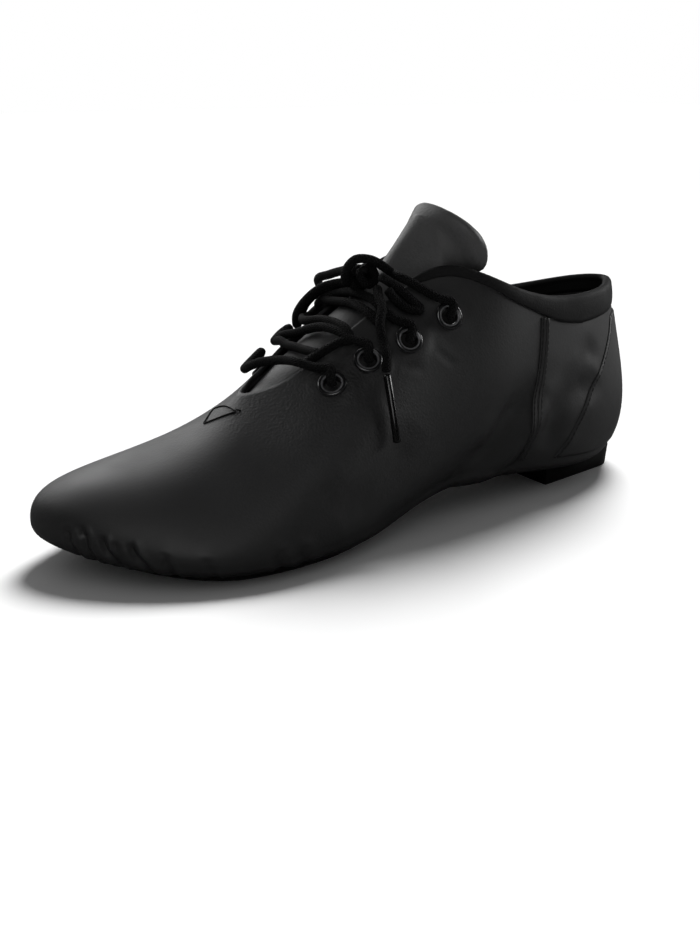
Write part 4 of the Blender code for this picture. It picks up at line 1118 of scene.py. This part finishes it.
class JAZZSHOE_OT_lace_cords(bpy.types.Operator):
    """Ties the bow: its knot, two loops and two ends, with the aglet"""

    bl_idname = "jazz_shoe.lace_cords"
    bl_label = "Bow"

    def execute(self, context):
        radius = sizes().lace_radius
        way = smooth_path(place(AGLET_ROUTE), AGLET_STEPS)
        aglet = tube_piece("aglet_tip", way, sizes().aglet_radius, AGLET_SIDES)
        finish_piece(aglet, "Aglet", ["aglet"])
        for name, route in CORD_ROUTES.items():
            line = smooth_path(place(route), LACE_STEPS)
            cord = tube_piece(name + "_braid", line, radius)
            finish_piece(cord, "Braided lace", [name])
        return {"FINISHED"}


class JAZZSHOE_OT_lace_bars(bpy.types.Operator):
    """Laces the throat: the bars between the eyelets and their crossings"""

    bl_idname = "jazz_shoe.lace_bars"
    bl_label = "Lace bars"

    def execute(self, context):
        pieces = [
            tube_piece(name, smooth_path(place(route), LACE_STEPS), sizes().lace_radius)
            for name, route in BAR_ROUTES.items()
        ]
        for centre, axis, reach in KNOT_WRAPS:
            pieces.append(tube_piece("knot_wrap", ring_line(centre, axis, reach), sizes().lace_radius))
        bars = joined("lace_bars_braid", pieces)
        finish_piece(bars, "Braided lace", ["lace_bars"])
        return {"FINISHED"}


def toe_spacing():
    """Turns round the shoe, closer together at the toe, where the pleats are."""
    fine = np.linspace(0, 2 * np.pi, TOE_SAMPLES)
    middle = (fine[1:] + fine[:-1]) / 2
    weight = 1 + TOE_EXTRA * np.exp(-((middle - np.pi) / TOE_SPAN) ** 2)
    run = run_along(skin(fine, TOE_LEVEL), weight)
    return np.interp(np.linspace(0, run[-1], UPPER_COLUMNS, endpoint=False), run, fine)


class JAZZSHOE_OT_upper(bpy.types.Operator):
    """Lasts the upper: creased leather outside, lining inside, with its eyelet holes"""

    bl_idname = "jazz_shoe.upper"
    bl_label = "Upper"

    def execute(self, context):
        shares = np.concatenate([
            MARGIN_SHARES, np.linspace(-1, 0, TURN_ROWS)[:-1], np.linspace(0, 1, SIDE_ROWS),
        ])
        points = worn(toe_spacing()[:, None], shares[None, :])
        upper = grid_piece("upper_leather", points, closed=True)
        self.punch(upper)
        for name in ("Soft leather", "Lining"):
            upper.data.materials.append(material(name))
        apply_modifier(upper, "SOLIDIFY", thickness=WALL, offset=-1.0, material_offset=1)
        finish_piece(upper, "Soft leather", ["upper"])
        return {"FINISHED"}

    def punch(self, upper):
        """Opens a round hole for each eyelet."""
        bm = bmesh.new()
        bm.from_mesh(upper.data)
        for _, centre, _ in eyelet_places():
            centre = Vector(centre)
            cut = EYELET_HOLE * HOLE_CUT
            inside = [face for face in bm.faces if (face.calc_center_median() - centre).length < cut]
            bmesh.ops.delete(bm, geom=inside, context="FACES")
        for _, centre, normal in eyelet_places():
            centre, normal = Vector(centre), Vector(normal)
            for vert in bm.verts:
                away = vert.co - centre
                if vert.is_boundary and away.length < EYELET_HOLE * HOLE_RIM:
                    level = away.dot(normal)
                    flat = (away - normal * level).normalized()
                    vert.co = centre + flat * EYELET_HOLE + normal * level
        bm.to_mesh(upper.data)
        bm.free()


def tongue_grid():
    """The tongue's rows, from its rounded top down to its closed front under the vamp."""
    corner = float(turn_of(TONGUE_CORNER))
    turns = np.linspace(corner, np.pi, TONGUE_ROW_COUNT)
    shares = np.array(TONGUE_SHARES)
    rows = []
    for turn in turns:
        nearness = math.exp(-(((turn - corner) / TONGUE_PUFF_SPAN) ** 2))
        inward = WALL + TONGUE_CLEARANCE + TONGUE_EASE * nearness
        sides = []
        for at in (turn, 2 * np.pi - turn):
            sides.append(skin(at, shares) - skin_normal(at, shares) * inward)
        near, far = sides
        lead = (near[-1] - near[-2]) / np.linalg.norm(near[-1] - near[-2])
        tail = (far[-1] - far[-2]) / np.linalg.norm(far[-1] - far[-2])
        gap = np.linalg.norm(near[-1] - far[-1]) * (TONGUE_CROWN + TONGUE_PUFF * nearness)
        one, two = near[-1] + lead * gap, far[-1] + tail * gap
        middle = []
        for t in TONGUE_MIDDLE:
            ends = (1 - t) ** 3 * near[-1] + t**3 * far[-1]
            middle.append(ends + 3 * (1 - t) ** 2 * t * one + 3 * (1 - t) * t**2 * two)
        rows.append(np.concatenate([near, middle, far[::-1]]))
    peak = rows[0][len(rows[0]) // 2]
    above = []
    swing = np.linspace(np.pi / 2, -np.pi / 2, len(rows[0]))
    for up, lean, near_along, near_out, far_along, far_out, height in TONGUE_ROWS:
        middle = peak + np.array([-lean, 0.0, up]) * TONGUE_REACH
        near = swing > 0
        side = np.zeros((len(swing), 3))
        side[:, 0] = np.where(near, near_along, far_along) * LENGTH - HEEL_CENTRE
        side[:, 2] = height * INSTEP_HEIGHT
        row = middle + (side - middle) * (1 - np.cos(swing))[:, None]
        row[:, 1] = np.where(near, near_out, far_out) * BALL_WIDTH * np.sin(swing)
        above.append(row)
    return np.stack(above + rows)


def refined(points, row_steps, column_steps):
    """A finer smooth grid through the same points."""
    rows = np.stack([smooth_path(points[:, j], row_steps) for j in range(points.shape[1])], axis=1)
    return np.stack([smooth_path(row, column_steps) for row in rows])


class JAZZSHOE_OT_tongue(bpy.types.Operator):
    """Sets the padded tongue under the throat"""

    bl_idname = "jazz_shoe.tongue"
    bl_label = "Tongue"

    def execute(self, context):
        points = refined(tongue_grid(), TONGUE_ROW_STEPS, TONGUE_COLUMN_STEPS)
        tongue = grid_piece("tongue_leather", points)
        merge_doubles(tongue)
        apply_modifier(tongue, "SOLIDIFY", thickness=TONGUE_THICKNESS, offset=-1.0)
        # Its lighter leather colour is partly painted sheen
        finish_piece(tongue, "Tongue leather and painted sheen", ["tongue"])
        return {"FINISHED"}


class JAZZSHOE_OT_collar_band(bpy.types.Operator):
    """Folds the soft elastic band over the collar's edge"""

    bl_idname = "jazz_shoe.collar_band"
    bl_label = "Collar band"

    def execute(self, context):
        stations, heights = np.array(BAND_ROWS).T
        end = float(turn_of(stations[-1]))
        turns = np.linspace(-end, end, BAND_COLUMNS)
        station = (1 - np.cos(turns)) / 2
        height = np.interp(station, stations, heights) * BAND_HEIGHT
        share = np.clip((BAND_INNER_END - station) / BAND_INNER_FADE, BAND_INNER_LEAST, 1.0)
        inner = BAND_INNER_HEIGHT * share
        low = np.array([share_below_top(turn, reach) for turn, reach in zip(turns, height)])
        inner_low = np.array([share_below_top(turn, reach) for turn, reach in zip(turns, inner)])
        swell = np.linspace(BAND_PUFF_START, np.pi * BAND_PUFF_END, BAND_OUTER_ROWS)
        puff = np.sin(swell) ** BAND_PUFF_POWER
        fullness = np.minimum(1.0, height / BAND_HEIGHT + BAND_PUFF_BASE)
        thick = BAND_LEAST + BAND_PUFF * puff[None, :] * fullness[:, None]
        outer_shares = low[:, None] + (1 - low[:, None]) * np.linspace(0, 1, BAND_OUTER_ROWS)[None, :]
        outer = worn(turns[:, None] + 0 * outer_shares, outer_shares, thick)
        upward = skin(turns, 1.0) - skin(turns, NEAR_TOP)
        upward /= np.linalg.norm(upward, axis=1)[:, None]
        normal = skin_normal(turns, 1.0)
        top = skin(turns, 1.0) - normal * WALL / 2
        half = WALL / 2 + BAND_FOLD
        angles = np.linspace(BAND_FOLD_START, np.pi - BAND_FOLD_END, BAND_OVER_ROWS)[None, :, None]
        turned = np.cos(angles) * normal[:, None] + np.sin(angles) * upward[:, None]
        over = top[:, None] + turned * half
        inner_shares = 1 + (inner_low[:, None] - 1) * np.linspace(0, 1, BAND_INNER_ROWS)[None, :]
        inside = skin(turns[:, None], inner_shares)
        inside = inside - skin_normal(turns[:, None], inner_shares) * (WALL + BAND_LINING_GAP)
        rows = np.concatenate([outer, over, inside], axis=1)
        band = grid_piece("collar_band_elastic", rows)
        apply_modifier(band, "SOLIDIFY", thickness=SHEET, offset=-1.0)
        finish_piece(band, "Collar elastic", ["collar_band"])
        return {"FINISHED"}


def rounded(inside, reach):
    """Rises from 0 at an edge to 1 where it is this far inside, as a rounded edge does."""
    return np.clip(inside / reach, 0, 1) ** 0.5


class JAZZSHOE_OT_counter(bpy.types.Operator):
    """Lays the counter round the back of the heel"""

    bl_idname = "jazz_shoe.counter"
    bl_label = "Counter"

    def execute(self, context):
        stations, heights = smooth_path(COUNTER_ROWS, SEAM_STEPS).T
        ends = turn_of(stations)
        across = np.sin(np.linspace(-np.pi / 2, np.pi / 2, COUNTER_COLUMNS))
        turns = (ends[:, None] * across[None, :]).T
        shares = np.broadcast_to(heights[:, None], (len(heights), len(across))).T
        rim = rounded(1 - np.abs(across), COUNTER_RIM)
        up = np.linspace(0, 1, len(heights))
        tips = rounded(up, COUNTER_END) * rounded(1 - up, COUNTER_END)
        lift = COUNTER_LEAST + COUNTER_LIFT * rim[:, None] * tips[None, :]
        counter = grid_piece("counter_leather", worn(turns, shares, lift))
        apply_modifier(counter, "SOLIDIFY", thickness=SHEET, offset=-1.0)
        finish_piece(counter, "Soft leather", ["counter"])
        return {"FINISHED"}


def beside_strip(station, shares, across):
    """The turns that lie so many strip widths beside the strip's middle, at these shares up it."""
    middle = float(turn_of(station))
    beside = skin(middle + STRIP_TURN, shares) - skin(middle, shares)
    return middle + STRIP_TURN * STRIP_WIDTH * across / np.linalg.norm(beside, axis=1)


class JAZZSHOE_OT_side_strips(bpy.types.Operator):
    """Lays the raised seam strip on each quarter"""

    bl_idname = "jazz_shoe.side_strips"
    bl_label = "Side strips"

    def execute(self, context):
        shares = np.linspace(STRIP_FOOT, STRIP_HEAD, STRIP_ROWS)
        across = np.linspace(-1, 1, STRIP_COLUMNS)
        rim = rounded(1 - np.abs(across), STRIP_RIM)
        ridges = np.exp(-((np.abs(across) - STRIP_RIDGE) / STRIP_RIDGE_WIDTH) ** 2)
        lift = STRIP_LEAST + STRIP_LIFT * rim + STRIP_RIDGE_LIFT * ridges
        for side, station in (("lateral", STRIP_STATION), ("medial", -STRIP_STATION)):
            turns = beside_strip(station, shares, across[:, None] * STRIP_SHARE)
            points = worn(turns, np.broadcast_to(shares, turns.shape), lift[:, None] * np.ones(len(shares)))
            strip = grid_piece(f"side_strip_{side}_leather", points)
            apply_modifier(strip, "SOLIDIFY", thickness=SHEET, offset=-1.0)
            finish_piece(strip, "Soft leather", [f"side_strip_{side}"])
        return {"FINISHED"}


class JAZZSHOE_OT_eyelets(bpy.types.Operator):
    """Sets the four pairs of enamelled eyelets"""

    bl_idname = "jazz_shoe.eyelets"
    bl_label = "Eyelets"

    def execute(self, context):
        for name, centre, normal in eyelet_places():
            deselect_all()
            bpy.ops.mesh.primitive_circle_add(vertices=len(EYELET_PROFILE), radius=1.0)
            ring = bpy.context.object
            ring.name = ring.data.name = name + "_ring"
            for vert, (radius, height) in zip(ring.data.vertices, EYELET_PROFILE):
                vert.co = (radius, 0.0, height)
            apply_modifier(
                ring, "SCREW", axis="Z", steps=EYELET_TURNS, render_steps=EYELET_TURNS,
                use_merge_vertices=True, merge_threshold=MERGE,
            )
            placed = Matrix.Translation(centre) @ Vector(normal).to_track_quat("Z", "Y").to_matrix().to_4x4()
            ring.data.transform(placed)
            outward_normals(ring)
            for finish in ("Black enamel", "Painted eyelet glint"):
                ring.data.materials.append(material(finish))
            # Faces of the inner lip take the light grey painted glint
            for face in ring.data.polygons:
                away = face.center - Vector(centre)
                level = away.dot(Vector(normal))
                radius = (away - Vector(normal) * level).length
                painted_glint = radius < EYELET_GLINT_RADIUS and level > EYELET_GLINT_LEVEL
                face.material_index = 1 if painted_glint else 0
            finish_piece(ring, "Black enamel", [name])
        return {"FINISHED"}


def softened(node_name, piece_name, bevel):
    """A copy of a solid with its edges rounded."""
    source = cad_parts[node_name]
    piece = bpy.data.objects.new(piece_name, source.data.copy())
    piece.data.name = piece_name
    piece.data.materials.clear()
    bpy.context.scene.collection.objects.link(piece)
    piece.matrix_world = source.matrix_world
    merge_doubles(piece)
    apply_modifier(
        piece, "BEVEL", width=bevel, segments=BEVEL_SEGMENTS, limit_method="ANGLE", angle_limit=BEVEL_ANGLE,
    )
    return piece


class JAZZSHOE_OT_bottom(bpy.types.Operator):
    """Puts on the suede forefoot sole, the arch piece, the heel and the insole"""

    bl_idname = "jazz_shoe.bottom"
    bl_label = "Sole, arch, heel and insole"

    def execute(self, context):
        for name, (finish, slot, bevel) in BOTTOM_PIECES.items():
            piece = softened(name, name + "_piece", bevel)
            finish_piece(piece, finish, [name], smooth=False)
            select_only(piece)
            bpy.ops.object.shade_smooth_by_angle(angle=SMOOTH_ANGLE)
        return {"FINISHED"}


def stitch_run(name, points, normals):
    """Stitches end to end along a line, each a small sunk capsule."""
    length, radius = sizes().stitch_length, sizes().stitch_radius
    run = run_along(points)
    count = max(1, int(run[-1] / length))
    pieces = []
    deselect_all()
    bpy.ops.mesh.primitive_uv_sphere_add(segments=STITCH_SEGMENTS, ring_count=STITCH_RINGS, radius=1.0)
    model = bpy.context.object

    def value_at(distance, values):
        return np.array([np.interp(distance, run, values[:, k]) for k in range(3)])

    for i in range(count):
        at = (i + 0.5) * run[-1] / count
        middle, normal = value_at(at, points), value_at(at, normals)
        along = value_at(at + length / 3, points) - value_at(at - length / 3, points)
        along /= np.linalg.norm(along)
        side = np.cross(normal, along)
        side /= np.linalg.norm(side)
        normal = np.cross(along, side)
        turned = Matrix((side * radius, normal * radius, along * length * STITCH_FILL)).transposed().to_4x4()
        mesh = model.data.copy()
        mesh.transform(Matrix.Translation(middle) @ turned)
        piece = bpy.data.objects.new(name, mesh)
        bpy.context.scene.collection.objects.link(piece)
        pieces.append(piece)
    bpy.data.objects.remove(model, do_unlink=True)
    made = joined(name, pieces)
    outward_normals(made)
    return made


class JAZZSHOE_OT_stitching(bpy.types.Operator):
    """Sews the strips and the counter, and the small tack below the throat"""

    bl_idname = "jazz_shoe.stitching"
    bl_label = "Stitching"

    def execute(self, context):
        pieces = []
        shares = np.linspace(STRIP_FOOT + STRIP_STITCH_END, STRIP_HEAD - STRIP_STITCH_END, STITCH_SAMPLES)
        for station in (STRIP_STATION, -STRIP_STATION):
            for out in (-STRIP_STITCH_OUT, STRIP_STITCH_OUT):
                turns = beside_strip(station, shares, out / 2)
                line = worn(turns, shares, STRIP_STITCH_LEVEL)
                pieces.append(stitch_run("strip_stitches", line, skin_normal(turns, shares)))
        stations, heights = smooth_path(COUNTER_ROWS, SEAM_STEPS).T
        for side in (1, -1):
            turns = side * turn_of(stations - COUNTER_STITCH_BACK)
            line = worn(turns, heights, COUNTER_STITCH_LEVEL)
            pieces.append(stitch_run("counter_stitches", line, skin_normal(turns, heights)))
        stitches = joined("seam_stitches", pieces)
        finish_piece(stitches, "Thread")
        self.tack()
        return {"FINISHED"}

    def tack(self):
        """Three long stitches in a small triangle on the vamp, with the thread's loop at one corner."""
        upper = bpy.data.objects["upper_leather"]
        pieces = []
        for one, two in zip(TACK_CORNERS, TACK_CORNERS[1:] + TACK_CORNERS[:1]):
            line = []
            for t in np.linspace(0, 1, TACK_STEPS):
                above = Vector(one).lerp(Vector(two), t).to_3d() + Vector((0.0, 0.0, INSTEP_HEIGHT))
                hit, place, normal, _ = upper.ray_cast(above, Vector((0.0, 0.0, -1.0)))
                if hit:
                    line.append(place + normal * TACK_RADIUS)
            pieces.append(tube_piece("tack", np.array(line), TACK_RADIUS, THREAD_SIDES))
        corner = np.array(pieces[0].data.vertices[0].co)
        angles = np.linspace(0, 2 * np.pi * TACK_LOOP_TURNS, TACK_LOOP_STEPS)
        turned = np.column_stack([np.cos(angles), np.sin(angles), np.cos(angles)])
        loop = corner + np.array(TACK_LOOP_CENTRE) + turned * TACK_LOOP_REACH
        pieces.append(tube_piece("tack_loop", loop, TACK_RADIUS, THREAD_SIDES))
        tack = joined("vamp_tack", pieces)
        finish_piece(tack, "Thread")


class JAZZSHOE_PT_panel(bpy.types.Panel):
    """Lists the pieces of the jazz shoe"""

    bl_idname = "JAZZSHOE_PT_panel"
    bl_label = "Jazz Shoe"
    bl_space_type = "VIEW_3D"
    bl_region_type = "UI"
    bl_category = "Jazz Shoe"

    def draw(self, context):
        layout = self.layout
        for operator in OPERATORS:
            layout.operator(operator.bl_idname)
        for group in (context.scene.jazz_shoe_sizes, context.scene.jazz_shoe_colours):
            for name in group.bl_rna.properties.keys():
                if name not in ("rna_type", "name"):
                    layout.prop(group, name)


OPERATORS = (
    JAZZSHOE_OT_stage,
    JAZZSHOE_OT_lace_cords,
    JAZZSHOE_OT_lace_bars,
    JAZZSHOE_OT_upper,
    JAZZSHOE_OT_tongue,
    JAZZSHOE_OT_collar_band,
    JAZZSHOE_OT_counter,
    JAZZSHOE_OT_side_strips,
    JAZZSHOE_OT_eyelets,
    JAZZSHOE_OT_bottom,
    JAZZSHOE_OT_stitching,
)
CLASSES = (ShoeSizes, ShoeColours) + OPERATORS + (JAZZSHOE_PT_panel,)


def register():
    for cls in CLASSES:
        bpy.utils.register_class(cls)
    bpy.types.Scene.jazz_shoe_sizes = bpy.props.PointerProperty(type=ShoeSizes)
    bpy.types.Scene.jazz_shoe_colours = bpy.props.PointerProperty(type=ShoeColours)


def unregister():
    del bpy.types.Scene.jazz_shoe_colours
    del bpy.types.Scene.jazz_shoe_sizes
    for cls in reversed(CLASSES):
        bpy.utils.unregister_class(cls)


def main():
    register()
    for operator in OPERATORS:
        group, name = operator.bl_idname.split(".")
        result = getattr(getattr(bpy.ops, group), name)()
        if "FINISHED" not in result:
            raise RuntimeError(operator.bl_label + " did not finish")


if __name__ == "__main__":
    main()
